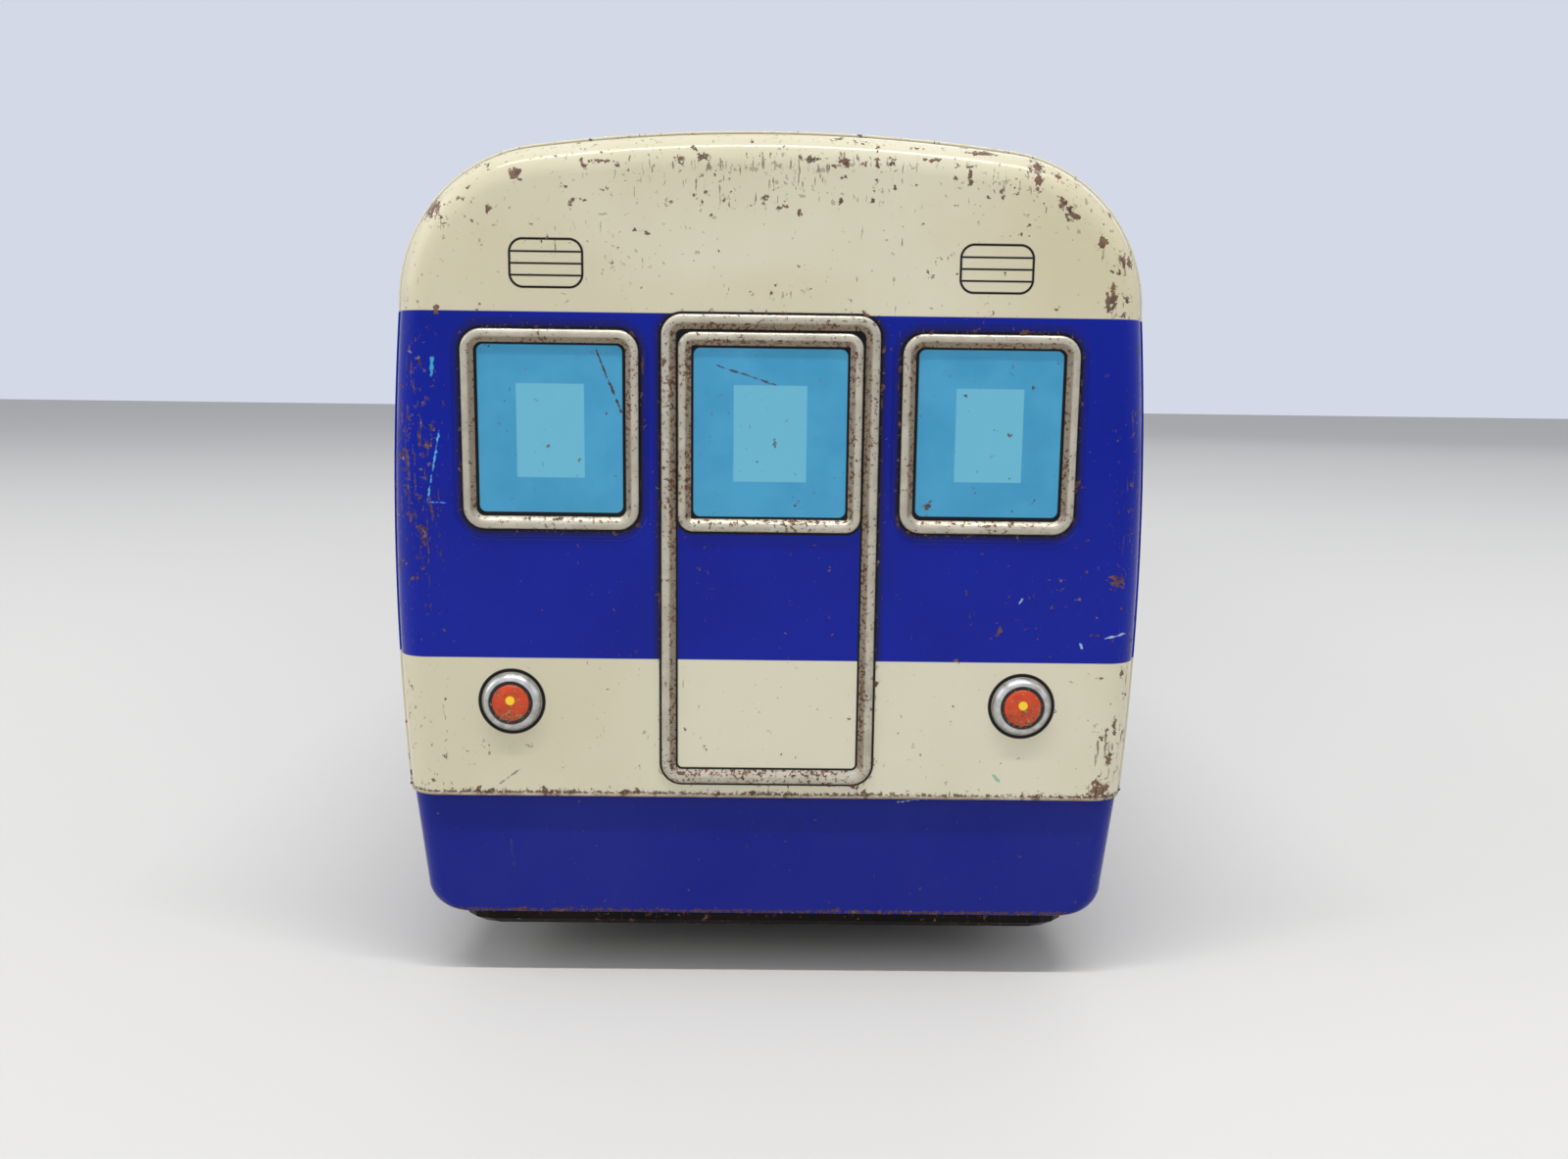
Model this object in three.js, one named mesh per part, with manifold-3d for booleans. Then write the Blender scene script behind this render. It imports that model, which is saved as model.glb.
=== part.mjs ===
// A tinplate friction-drive toy railcar: a pressed and printed sheet-metal body on a black base pan,
// with a geared flywheel motor over the rear axle and a plain axle under the nose.
// Millimetres. +Y runs from the flat rear end to the nose, +X is to the right seen from the rear, +Z is up.
// The origin is on the floor, under the middle of the whole length and width.
import * as THREE from "three";
import { mergeVertices } from "three/addons/utils/BufferGeometryUtils.js";
import Module from "manifold-3d";

const wasm = await Module();
wasm.setup();

// Driving sizes of the whole toy
const overallLength = 580;
const bodyWidth = 112.6;
const roofHeight = 127.5;
const lipHeight = 29.5; // floor to the lower lip of the upper body
const skirtFloor = 10.35; // floor to the underside of the blue skirt
const baseFloor = 6.9; // floor to the underside of the black base pan
const sheet = 0.4; // thickness of a pressed sheet
const seam = 0.3; // gap between two sheets that lie on each other
const overrun = 4; // how far a cut runs past what it cuts
const weldDistance = 0.0001; // corners closer than this are one corner

// Upper body section
const widestHeight = 63;
const sideRadius = 445;
const shoulderRadius = 23;
const crownRise = 2.1; // the roof's crown above the ends of its shoulders

// Pressed ridges round windows and doors
const ridgeWidth = 2.3;
const ridgeHeight = 0.8;
const frameCorner = 3.2;

// Windows and doors
const sillHeight = 70;
const windowHeight = 29;
const rearWindowWidth = 25.8;
const rearWindowOut = 31.8; // centreline to the middle of a rear window
const sideWindowWidth = 38;
const sideWindowCount = 7;
const doorWidth = 31.8;
const doorSill = 31.7;
const doorHeight = 69.7;
const doorMargin = 5; // end of the side sheet to the nearest door
const doorWindowWidth = 27.2;
const doorWindowHeight = 28.7;
const doorWindowSill = 70;

// Rear end
const capRadius = 5;
const flangeDepth = 6;
const lampRadius = 5.1;
const lampRise = 1.6;
const lampOut = 38.15;
const lampHeight = 44.15;

// Roof vents
const ventCount = 6;
const ventLength = 46;
const ventWidth = 52;
const ventRise = 2.2;
const ventCorner = 4;

// Nose
const noseLength = 105;
const noseTipHeight = 60;
const chinSetback = 9;
const noseSlopeShare = 1.7; // power of the height in the nose's side profile
const noseRoundShare = 0.8; // power that rounds the same profile at its tip
const nosePlanShare = 0.8; // power that fills out the nose seen from above
const noseSideSteps = 7;
const noseSteps = 9;

// Nose fittings
const coverRadius = 16;
const coverRise = 1.2;
const screenWidth = 38;
const screenHeight = 19;
const screenSill = 90;
const screenOut = 22; // centreline to the middle of a windscreen
const headlightRadius = 8;
const headlightOut = 30;
const headlightHeight = 47;
const headlightTurn = 28; // degrees outward from straight ahead
const headlightReach = 5.5; // front of the bezel, out from the skin at its middle
const bezelWall = 1.4;
const lensBulge = 2.4;

// Skirt
const skirtRecess = 1.2; // rear face of the skirt, in from the rear end's face
const skirtTaper = 1.7; // how much the skirt draws in from the lip down to its floor
const skirtCorner = 4.5;
const skirtShoulder = 0.65; // how far the skirt stands out just below the lip, from its tucked part
const skirtTuck = 5; // how far the skirt reaches up behind the lip
const skirtLedge = 7.5; // width of the ledge that rests on the base pan
const tabLength = 5;
const tabFold = 4;
const tabCount = 6; // on each side

// Base pan
const panInset = 0.3; // rim of the pan, in from the flat of the skirt's underside
const panRear = 1.5; // rim of the pan, in from the skirt's rear face
const panRounding = 3.5; // how far the pan draws in from its rim to its floor
const panCorner = 4.5;
const slotGap = 1; // wheel slot beside a tyre
const slotEnd = 8; // wheel slot before and behind a tyre

// Wheels and axles
const tyreRadius = 18;
const tyreWidth = 8;
const tyreShoulder = 0.9;
const rimRadius = 13.5;
const rimWall = 1.2;
const webThickness = 1;
const webOut = 1.4; // middle of the web, out from the middle of the wheel
const bossRadius = 3.5;
const bossInner = 8; // boss end, in from the middle of the wheel
const bossOuter = 3;
const axleRadius = 1.5;
const axleStub = 1; // axle end beyond the boss
const trackHalf = 30; // centreline to the middle of a wheel
const rearAxleBack = 100; // rear face to the driven axle
const frontAxleBehind = 22.2; // front axle, behind the root of the nose
const pressGap = 0.1; // radial gap where a piece is pressed onto its shaft
const runningGap = 0.25; // radial gap where a shaft turns in a hole
const endPlay = 0.4;
const spacerRadius = 2.8;
const wheelFacets = 24;
const rodFacets = 10;

// Friction motor
const gearModule = 0.8;
const addendumShare = 0.8; // of the module
const dedendumShare = 1.1; // of the module
const backlash = 0.2;
const pressureAngle = 20;
const driveTeeth = 20;
const firstPinionTeeth = 12;
const wheelTeeth = 26;
const pinionTeeth = 10;
const gearThickness = 1.6;
const pinionLength = 3.4;
const firstPlane = 7.5; // centreline to the plane of the drive gear
const secondPlane = -7.5;
const arborRadius = 1.2;
const flywheelRadius = 12.5;
const flywheelThickness = 9;
const flywheelOut = 3.5; // centreline to the middle of the flywheel
const firstMeshAngle = 35; // degrees above straight ahead, from one arbor to the next
const secondMeshAngle = 20;
const thirdMeshAngle = 0;
const plateOut = 13; // centreline to the inner face of a motor plate
const plateThickness = 0.8;
const plateBehind = 14; // plate edge behind the driven axle
const plateAhead = 58;
const plateTop = 50; // floor to the top of a plate
const plateChamfer = 12;
const footWidth = 6;
const postRadius = 2;
const postTenon = 1.2;
const tenonEnd = 0.8; // tenon or arbor end beyond the plate
const postShares = [
  [-0.6, 0.62],
  [0.93, 0.36],
  [0.7, 0.92],
]; // shares of the plate's reach behind or ahead, and of its top
const rivetRadius = 1.2;
const rivetHead = 2.2;
const rivetHeadHeight = 0.8;
const rivetMargin = 6; // end of a motor plate to the middle of a rivet

// Front axle bracket
const bracketLength = 14;
const bracketAbove = 4.5; // ear above the axle
const bracketRivetOut = 12;

// Worked-out places
const joggle = sheet + seam; // step from a sheet's outside to one that lies inside it
const rearFace = -overallLength / 2 + lampRise;
const noseTip = overallLength / 2 - coverRise;
const noseRoot = noseTip - noseLength;
const sideRear = rearFace + capRadius;
const axleHeight = tyreRadius * Math.cos(Math.PI / wheelFacets); // a facet of the tyre lies on the floor
const rearAxle = rearFace + rearAxleBack;
const frontAxle = noseRoot - frontAxleBehind;
const footFloor = baseFloor + sheet + seam;
const footTop = footFloor + plateThickness;
const radians = THREE.MathUtils.degToRad;

const finish = {
  cream: [0xd8d0b4, 0.35, 0.1],
  blue: [0x1c2390, 0.3, 0.1],
  black: [0x161514, 0.5, 0.2],
  steel: [0x9a9a96, 0.35, 0.9],
  brass: [0xb08d45, 0.35, 0.9],
  zinc: [0x7d7f82, 0.5, 0.8],
  rubber: [0x1b1b1c, 0.85, 0],
  chrome: [0xc9c9c6, 0.15, 1],
  lens: [0xe8e6da, 0.1, 0],
};

// Solids and meshes

function solidOf(geometry) {
  const bare = geometry.clone();
  bare.deleteAttribute("normal");
  bare.deleteAttribute("uv");
  const merged = mergeVertices(bare, weldDistance);
  const index = merged.index.array;
  const made = (flip) => {
    const kept = [];
    for (let i = 0; i < index.length; i += 3) {
      const [a, b, c] = [index[i], index[i + 1], index[i + 2]];
      if (a !== b && b !== c && c !== a) kept.push(a, flip ? c : b, flip ? b : c);
    }
    const vertProperties = new Float32Array(merged.attributes.position.array);
    return new wasm.Manifold(
      new wasm.Mesh({ numProp: 3, vertProperties, triVerts: new Uint32Array(kept) }),
    );
  };
  const asDrawn = made(false);
  return asDrawn.volume() > 0 ? asDrawn : made(true);
}

function geometryOf(solid) {
  const mesh = solid.getMesh();
  const places = new Float32Array(mesh.numVert * 3);
  for (let i = 0; i < mesh.numVert; i++) {
    places.set(mesh.vertProperties.subarray(i * mesh.numProp, i * mesh.numProp + 3), i * 3);
  }
  const geometry = new THREE.BufferGeometry();
  geometry.setAttribute("position", new THREE.BufferAttribute(places, 3));
  geometry.setIndex(new THREE.BufferAttribute(mesh.triVerts, 1));
  geometry.computeVertexNormals();
  return geometry;
}

const joined = (solids) => solids.reduce((all, one) => all.add(one));
const cutBy = (solid, cutters) => cutters.reduce((rest, one) => rest.subtract(one), solid);

const part = new THREE.Group();

function addPiece(name, solid, [color, roughness, metalness]) {
  const material = new THREE.MeshStandardMaterial({ color, roughness, metalness });
  const mesh = new THREE.Mesh(geometryOf(solid), material);
  mesh.name = name;
  part.add(mesh);
}

// A solid through closed loops of points that all have the same number of corners.
// A pointed one ends in a loop whose two sides have met, which needs no end face.
function loft(loops, pointed = false) {
  const count = loops[0].length;
  const triangles = [];
  for (let k = 0; k + 1 < loops.length; k++) {
    for (let i = 0; i < count; i++) {
      const [a, b] = [k * count + i, k * count + ((i + 1) % count)];
      triangles.push(a, b, b + count, a, b + count, a + count);
    }
  }
  const level = loops[0].every((p) => p.z === loops[0][0].z);
  const drawn = (loop) => loop.map((p) => new THREE.Vector2(p.x, level ? p.y : p.z));
  const clockwise = THREE.ShapeUtils.isClockWise(drawn(loops[0]));
  const addEnd = (k, flip) => {
    for (const [a, b, c] of THREE.ShapeUtils.triangulateShape(drawn(loops[k]), [])) {
      const start = k * count;
      triangles.push(start + a, start + (flip ? c : b), start + (flip ? b : c));
    }
  };
  addEnd(0, !clockwise);
  if (!pointed) addEnd(loops.length - 1, clockwise);
  const places = loops.flat().flatMap((p) => [p.x, p.y, p.z]);
  const geometry = new THREE.BufferGeometry();
  geometry.setAttribute("position", new THREE.Float32BufferAttribute(places, 3));
  geometry.setIndex(triangles);
  return solidOf(geometry);
}

const extruded = (shape, depth) =>
  new THREE.ExtrudeGeometry(shape, { depth, bevelEnabled: false, curveSegments: 2 });

// A shape drawn in X and Z, as seen from the rear, run from y0 to y1
const alongY = (shape, y0, y1) =>
  solidOf(extruded(shape, y1 - y0).rotateX(Math.PI / 2).translate(0, y1, 0));

const alongZ = (shape, z0, z1) => solidOf(extruded(shape, z1 - z0).translate(0, 0, z0));

// A shape drawn in Y and Z, run from x0 to x1
function alongX(shape, x0, x1) {
  const turn = new THREE.Matrix4().makeBasis(
    new THREE.Vector3(0, 1, 0),
    new THREE.Vector3(0, 0, 1),
    new THREE.Vector3(1, 0, 0),
  );
  return solidOf(extruded(shape, x1 - x0).applyMatrix4(turn).translate(x0, 0, 0));
}

function block(x0, x1, y0, y1, z0, z1) {
  const box = new THREE.BoxGeometry(x1 - x0, y1 - y0, z1 - z0);
  return solidOf(box.translate((x0 + x1) / 2, (y0 + y1) / 2, (z0 + z1) / 2));
}

const latheOf = (profile, facets, phase = 0) =>
  new THREE.LatheGeometry(profile.map(([r, along]) => new THREE.Vector2(r, along)), facets, phase);

// A turned piece about an axis along X. Each profile point is [radius, x].
function turned(profile, y, z, facets = rodFacets, phase = 0) {
  return solidOf(latheOf(profile, facets, phase).rotateZ(-Math.PI / 2).translate(0, y, z));
}

const rod = (radius, x0, x1, y, z) =>
  turned([[0, x0], [radius, x0], [radius, x1], [0, x1]], y, z);

const tube = (outer, bore, x0, x1, y, z) =>
  turned([[bore, x0], [outer, x0], [outer, x1], [bore, x1], [bore, x0]], y, z);

function roundedRectangle(middleX, bottom, width, height, corner) {
  const [l, r, b, t] = [middleX - width / 2, middleX + width / 2, bottom, bottom + height];
  const quarter = Math.PI / 2;
  const outline = new THREE.Shape();
  outline.moveTo(l + corner, b);
  outline.lineTo(r - corner, b);
  outline.absarc(r - corner, b + corner, corner, -quarter, 0);
  outline.absarc(r - corner, t - corner, corner, 0, quarter);
  outline.absarc(l + corner, t - corner, corner, quarter, 2 * quarter);
  outline.absarc(l + corner, b + corner, corner, 2 * quarter, 3 * quarter);
  return outline;
}

// The ridge round a window or a door, given by its outer edge
function ridge(middleX, bottom, width, height) {
  const outline = roundedRectangle(middleX, bottom, width, height, frameCorner);
  const [l, r] = [middleX - width / 2 + ridgeWidth, middleX + width / 2 - ridgeWidth];
  const [b, t] = [bottom + ridgeWidth, bottom + height - ridgeWidth];
  const corners = [[l, b], [r, b], [r, t], [l, t]].map(([x, z]) => new THREE.Vector2(x, z));
  outline.holes.push(new THREE.Path(corners));
  return outline;
}

// Upper body

const sideHalfAt = (z) =>
  bodyWidth / 2 - sideRadius + Math.sqrt(sideRadius ** 2 - (z - widestHeight) ** 2);

// The section from the right lip over the roof to the left lip, drawn in by an inset
function bodySection(inset, lowest, sideSteps = 3) {
  const eaves = roofHeight - crownRise - shoulderRadius;
  const shoulderX = sideHalfAt(eaves) - shoulderRadius;
  const rise = roofHeight - eaves;
  const crownRadius =
    (shoulderX ** 2 + rise ** 2 - shoulderRadius ** 2) / (2 * (rise - shoulderRadius));
  const lean = Math.asin(shoulderX / (crownRadius - shoulderRadius));
  const right = [];
  const [shoulderSteps, crownSteps] = [5, 2];
  for (let i = 0; i < sideSteps; i++) {
    const z = lowest + ((eaves - lowest) * i) / sideSteps;
    right.push([sideHalfAt(z) - inset, z]);
  }
  for (let i = 0; i < shoulderSteps; i++) {
    const turn = ((Math.PI / 2 - lean) * i) / shoulderSteps;
    const reach = shoulderRadius - inset;
    right.push([shoulderX + reach * Math.cos(turn), eaves + reach * Math.sin(turn)]);
  }
  for (let i = 0; i <= crownSteps; i++) {
    const turn = lean * (1 - i / crownSteps);
    const reach = crownRadius - inset;
    right.push([reach * Math.sin(turn), roofHeight - crownRadius + reach * Math.cos(turn)]);
  }
  const left = right.slice(0, -1).map(([x, z]) => [-x, z]);
  return [...right, ...left.reverse()];
}

const sectionAt = (y, inset, lowest = lipHeight) =>
  bodySection(inset, lowest).map(([x, z]) => new THREE.Vector3(x, y, z));

const bodyBar = (y0, y1, inset, lowest = lipHeight) =>
  loft([sectionAt(y0, inset, lowest), sectionAt(y1, inset, lowest)]);

const belowLip = lipHeight - overrun;

// What a pressing adds outside the section, so that ridges follow the curved walls
const raisedLayer = (y0, y1, height) =>
  bodyBar(y0, y1, -height).subtract(bodyBar(y0 - overrun, y1 + overrun, sheet / 2, belowLip));

function makeBodyShell() {
  const shell = bodyBar(sideRear, noseRoot - seam, 0).subtract(
    bodyBar(sideRear - overrun, noseRoot + overrun, sheet, belowLip),
  );
  const length = noseRoot - seam - sideRear;
  const doors = [
    sideRear + doorMargin + doorWidth / 2,
    sideRear + length - doorMargin - doorWidth / 2,
  ];
  const pitch = (doors[1] - doors[0]) / (sideWindowCount + 1);
  const outlines = doors.flatMap((y) => [
    ridge(y, doorSill, doorWidth, doorHeight),
    ridge(y, doorWindowSill, doorWindowWidth, doorWindowHeight),
  ]);
  for (let i = 1; i <= sideWindowCount; i++) {
    outlines.push(ridge(doors[0] + pitch * i, sillHeight, sideWindowWidth, windowHeight));
  }
  const reach = bodyWidth / 2 + overrun;
  const bars = outlines.map((outline) => alongX(outline, -reach, reach));
  const ridges = raisedLayer(sideRear, noseRoot - seam, ridgeHeight).intersect(joined(bars));

  const ventPitch = length / ventCount;
  const vents = [];
  for (let i = 0; i < ventCount; i++) {
    const start = sideRear + ventPitch * (i + 1 / 2) - ventLength / 2;
    const outline = roundedRectangle(0, start, ventWidth, ventLength, ventCorner);
    vents.push(alongZ(outline, roofHeight - overrun, roofHeight + overrun));
  }
  const raised = raisedLayer(sideRear, noseRoot - seam, ventRise).intersect(joined(vents));
  addPiece("body_shell", joined([shell, ridges, raised]), finish.cream);
}

// The rear end: a pressed cap with a rounded edge, its flange inside the body's sheet

function makeRearCap() {
  const flangeEnd = sideRear + flangeDepth;
  const skinLoops = (wall, lowest, end) => {
    const steps = 4;
    const loops = [];
    for (let i = 0; i <= steps; i++) {
      const turn = ((Math.PI / 2) * i) / steps;
      const depth = capRadius - (capRadius - wall) * Math.cos(turn);
      const inset = joggle + capRadius - (capRadius - wall) * Math.sin(turn);
      loops.push(sectionAt(rearFace + depth, inset, lowest));
    }
    loops.push(sectionAt(end, joggle + wall, lowest));
    return loops;
  };
  const skin = loft(skinLoops(0, lipHeight, flangeEnd));
  const hollow = loft(skinLoops(sheet, belowLip, flangeEnd + overrun));
  const ridges = [
    ridge(-rearWindowOut, sillHeight, rearWindowWidth, windowHeight),
    ridge(rearWindowOut, sillHeight, rearWindowWidth, windowHeight),
    ridge(0, doorSill, doorWidth, doorHeight),
    ridge(0, doorWindowSill, doorWindowWidth, doorWindowHeight),
  ].map((outline) => alongY(outline, rearFace - ridgeHeight, rearFace + sheet / 2));
  const lamps = [-lampOut, lampOut].map(lampBoss);
  addPiece("rear_cap", joined([skin.subtract(hollow), ...ridges, ...lamps]), finish.cream);
}

function lampBoss(x) {
  const steps = 4;
  const profile = [[0, sheet / 2], [lampRadius, sheet / 2]];
  for (let i = 0; i <= steps; i++) {
    const turn = ((Math.PI / 2) * i) / steps;
    profile.push([lampRadius * Math.cos(turn), -lampRise * Math.sin(turn)]);
  }
  return solidOf(latheOf(profile, wheelFacets / 2).translate(x, rearFace, lampHeight));
}

// The nose: each level of the body section runs forward in a quarter ellipse to the centreline

function noseReach(z, inset) {
  const reach = noseLength - inset;
  if (z < noseTipHeight) {
    const drop = (noseTipHeight - z) / (noseTipHeight - lipHeight);
    return reach - chinSetback * drop ** 2;
  }
  const climb = Math.min(1, (z - noseTipHeight) / (roofHeight - inset - noseTipHeight));
  return reach * (1 - climb ** noseSlopeShare) ** noseRoundShare;
}

// How much narrower each step of the nose is than its root, and how far forward of it
const nosePlan = Array.from({ length: noseSteps + 1 }, (_, j) => {
  const turn = ((Math.PI / 2) * j) / noseSteps;
  const narrow = j < noseSteps ? Math.cos(turn) ** nosePlanShare : 0;
  return { narrow, forward: Math.sin(turn) ** nosePlanShare };
});

function noseSolid(inset, lowest = lipHeight, root = noseRoot) {
  const section = bodySection(inset, lowest, noseSideSteps);
  const placed = (place) => section.map(([x, z]) => new THREE.Vector3(...place(x, z)));
  const loops = nosePlan.map(({ narrow, forward }) =>
    placed((x, z) => [x * narrow, noseRoot + noseReach(z, inset) * forward, z]),
  );
  if (root < noseRoot) loops.unshift(placed((x, z) => [x, root, z]));
  return loft(loops, true);
}

const headlightMiddle = (() => {
  const turn = Math.acos((headlightOut / sideHalfAt(headlightHeight)) ** (1 / nosePlanShare));
  return noseRoot + noseReach(headlightHeight, 0) * Math.sin(turn) ** nosePlanShare;
})();

// A turned piece on a headlight's axis. Each profile point is [radius, distance in front of the skin].
function onHeadlight(side, profile) {
  const lathe = latheOf(profile, wheelFacets / 2).rotateZ(-side * radians(headlightTurn));
  return solidOf(lathe.translate(side * headlightOut, headlightMiddle, headlightHeight));
}

function makeNose() {
  const collarEnd = noseRoot - flangeDepth;
  const collar = bodyBar(collarEnd, noseRoot + sheet, joggle).subtract(
    bodyBar(collarEnd - overrun, noseRoot + overrun, joggle + sheet, belowLip),
  );
  const step = bodyBar(noseRoot, noseRoot + sheet, sheet / 2).subtract(
    bodyBar(noseRoot - overrun, noseRoot + overrun, joggle + sheet, belowLip),
  );
  const shell = noseSolid(0).subtract(noseSolid(sheet, belowLip, noseRoot - overrun));
  const screens = [-screenOut, screenOut].map((x) =>
    alongY(ridge(x, screenSill, screenWidth, screenHeight), noseRoot, noseTip + overrun),
  );
  const layer = noseSolid(-ridgeHeight).subtract(
    noseSolid(sheet / 2, belowLip, noseRoot - overrun),
  );
  const bore = headlightRadius - bezelWall;
  const deep = 2 * headlightRadius;
  const holes = [-1, 1].map((side) =>
    onHeadlight(side, [[0, -deep], [bore, -deep], [bore, deep], [0, deep]]),
  );
  const nose = joined([shell, collar, step, layer.intersect(joined(screens))]);
  addPiece("nose_shell", cutBy(nose, holes), finish.cream);
}

function makeNoseFittings() {
  const clear = noseSolid(-seam);
  const coverBack = noseRoot + noseLength / 2;
  const coverProfile = [
    [0, coverBack],
    [coverRadius, coverBack],
    [coverRadius, noseTip + overrun],
    [0, noseTip + overrun],
  ];
  const bar = solidOf(latheOf(coverProfile, wheelFacets).translate(0, 0, noseTipHeight));
  const cover = noseSolid(-coverRise).subtract(clear).intersect(bar);
  addPiece("coupler_cover", cover, finish.cream);

  const bore = headlightRadius - bezelWall;
  const lensRadius = bore - seam;
  for (const [name, side] of [["right", 1], ["left", -1]]) {
    const ring = onHeadlight(side, [
      [bore, -headlightRadius],
      [headlightRadius, -headlightRadius],
      [headlightRadius, headlightReach],
      [bore, headlightReach],
      [bore, -headlightRadius],
    ]);
    addPiece("headlight_bezel_" + name, ring.subtract(clear), finish.chrome);
    const profile = [[0, 0], [lensRadius, 0]];
    const steps = 3;
    for (let i = 0; i <= steps; i++) {
      const turn = ((Math.PI / 2) * i) / steps;
      const front = headlightReach - lensBulge + lensBulge * Math.sin(turn);
      profile.push([lensRadius * Math.cos(turn), front]);
    }
    addPiece("headlight_lens_" + name, onHeadlight(side, profile), finish.lens);
  }
}

// Skirt and base pan

const skirtHalf = sideHalfAt(lipHeight) - joggle - sheet - seam;
const skirtReach = noseReach(lipHeight, 0) - joggle - sheet - seam;
const shoulderHalf = skirtHalf + skirtShoulder;
const flatHalf = shoulderHalf - skirtTaper - skirtCorner; // half the flat width of the skirt's underside
const skirtRear = rearFace + skirtRecess;
const skirtEdge = capRadius - skirtRecess; // upright rear corners, which share their centres with the cap's

// The skirt's section from the right top edge under the floor to the left top edge
function skirtSection(inset, top, drawIn = 0) {
  const [tucked, side] = [skirtHalf, shoulderHalf].map((half) => half - inset - drawIn);
  const shoulder = lipHeight - seam - inset;
  const right = [
    [tucked, top],
    [tucked, shoulder],
    [side, shoulder],
  ];
  const steps = 4;
  for (let i = 0; i <= steps; i++) {
    const turn = ((Math.PI / 2) * i) / steps;
    const reach = skirtCorner - inset;
    right.push([
      flatHalf - drawIn + reach * Math.cos(turn),
      skirtFloor + skirtCorner - reach * Math.sin(turn),
    ]);
  }
  const left = right.map(([x, z]) => [-x, z]);
  return [...right, ...left.reverse()];
}

function skirtSolid(inset, top) {
  const loops = [];
  const edge = skirtEdge - inset;
  const edgeSteps = 3;
  for (let i = 0; i <= edgeSteps; i++) {
    const turn = ((Math.PI / 2) * i) / edgeSteps;
    const y = skirtRear + inset + edge * (1 - Math.cos(turn));
    const drawn = skirtSection(inset, top, edge * (1 - Math.sin(turn)));
    loops.push(drawn.map(([x, z]) => new THREE.Vector3(x, y, z)));
  }
  const section = skirtSection(inset, top);
  for (const { narrow, forward } of nosePlan) {
    loops.push(
      section.map(([x, z]) => {
        const reach = skirtReach - skirtHalf + Math.abs(x);
        return new THREE.Vector3(x * narrow, noseRoot + reach * forward, z);
      }),
    );
  }
  return loft(loops, true);
}

// A level outline with a rounded nose and rounded rear corners, drawn in from the skirt's flat underside
function planLoop(inset, corner, z, rearIn) {
  const [half, rear] = [flatHalf - inset, skirtRear + rearIn + inset];
  const reach = skirtReach - skirtHalf + flatHalf - inset;
  const right = nosePlan
    .map(({ narrow, forward }) => [half * narrow, noseRoot + reach * forward])
    .reverse();
  const cornerSteps = 3;
  for (let i = 0; i <= cornerSteps; i++) {
    const turn = ((Math.PI / 2) * i) / cornerSteps;
    const [x, y] = [half - corner + corner * Math.cos(turn), rear + corner - corner * Math.sin(turn)];
    right.push([x, y]);
  }
  const left = right.slice(1).map(([x, y]) => [-x, y]);
  return [...right, ...left.reverse()].map(([x, y]) => new THREE.Vector3(x, y, z));
}

const panFlatHalf = flatHalf - panInset - panRounding;
const tabOut = panFlatHalf - 2 * seam; // centreline to the outer face of a tab
const tabPlaces = Array.from({ length: tabCount }, (_, i) => {
  const span = noseRoot - skirtRear - 2 * panCorner;
  return skirtRear + panCorner + (span * (i + 1 / 2)) / tabCount;
});

function makeSkirt() {
  const top = lipHeight + skirtTuck;
  const pan = skirtSolid(0, top).subtract(skirtSolid(sheet, top + overrun));
  const opening = loft([
    planLoop(skirtLedge, panCorner, skirtFloor - overrun, skirtCorner),
    planLoop(skirtLedge, panCorner, skirtFloor + overrun, skirtCorner),
  ]);
  const foldTop = baseFloor - seam;
  const tabs = tabPlaces.flatMap((y) =>
    [-1, 1].flatMap((side) => {
      const span = (from, to, z0, z1) => {
        const [x0, x1] = [side * from, side * to].sort((a, b) => a - b);
        return block(x0, x1, y - tabLength / 2, y + tabLength / 2, z0, z1);
      };
      return [
        span(tabOut - sheet, tabOut, foldTop - sheet, skirtFloor + sheet / 2),
        span(tabOut - tabFold, tabOut, foldTop - sheet, foldTop),
      ];
    }),
  );
  addPiece("skirt", joined([pan.subtract(opening), ...tabs]), finish.blue);
}

function makeBasePan() {
  const rimTop = skirtFloor - seam;
  const rise = rimTop - baseFloor;
  const roundingSteps = 3;
  const levelLoop = (inset, z) => planLoop(inset, panCorner, z, panRear - panInset);
  const panLoops = (wall, top) => {
    const loops = [];
    for (let i = 0; i <= roundingSteps; i++) {
      const turn = ((Math.PI / 2) * i) / roundingSteps;
      const inset = panInset + wall + (panRounding - wall) * (1 - Math.sin(turn));
      const z = baseFloor + wall + (rise - wall) * (1 - Math.cos(turn));
      loops.push(levelLoop(inset, z));
    }
    if (top > rimTop) loops.push(levelLoop(panInset + wall, top));
    return loops;
  };
  const pan = loft(panLoops(0, rimTop)).subtract(loft(panLoops(sheet, rimTop + overrun)));
  const [below, above] = [baseFloor - overrun, rimTop + overrun];
  const slotHalf = tyreWidth / 2 + slotGap;
  const slotReach = tyreRadius + slotEnd;
  const slots = [rearAxle, frontAxle].flatMap((y) =>
    [-trackHalf, trackHalf].map((x) =>
      block(x - slotHalf, x + slotHalf, y - slotReach, y + slotReach, below, above),
    ),
  );
  const tabHoles = tabPlaces.flatMap((y) =>
    [-1, 1].map((side) => {
      const x = side * (tabOut - sheet / 2);
      const [half, long] = [sheet / 2 + seam, tabLength / 2 + seam];
      return block(x - half, x + half, y - long, y + long, below, above);
    }),
  );
  const rivetHoles = rivetPlaces().map(([, x, y]) => rivetHole(x, y));
  addPiece("base_pan", cutBy(pan, [...slots, ...tabHoles, ...rivetHoles]), finish.black);
}

// Rivets that hold the motor and the front bracket down on the base pan

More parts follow.
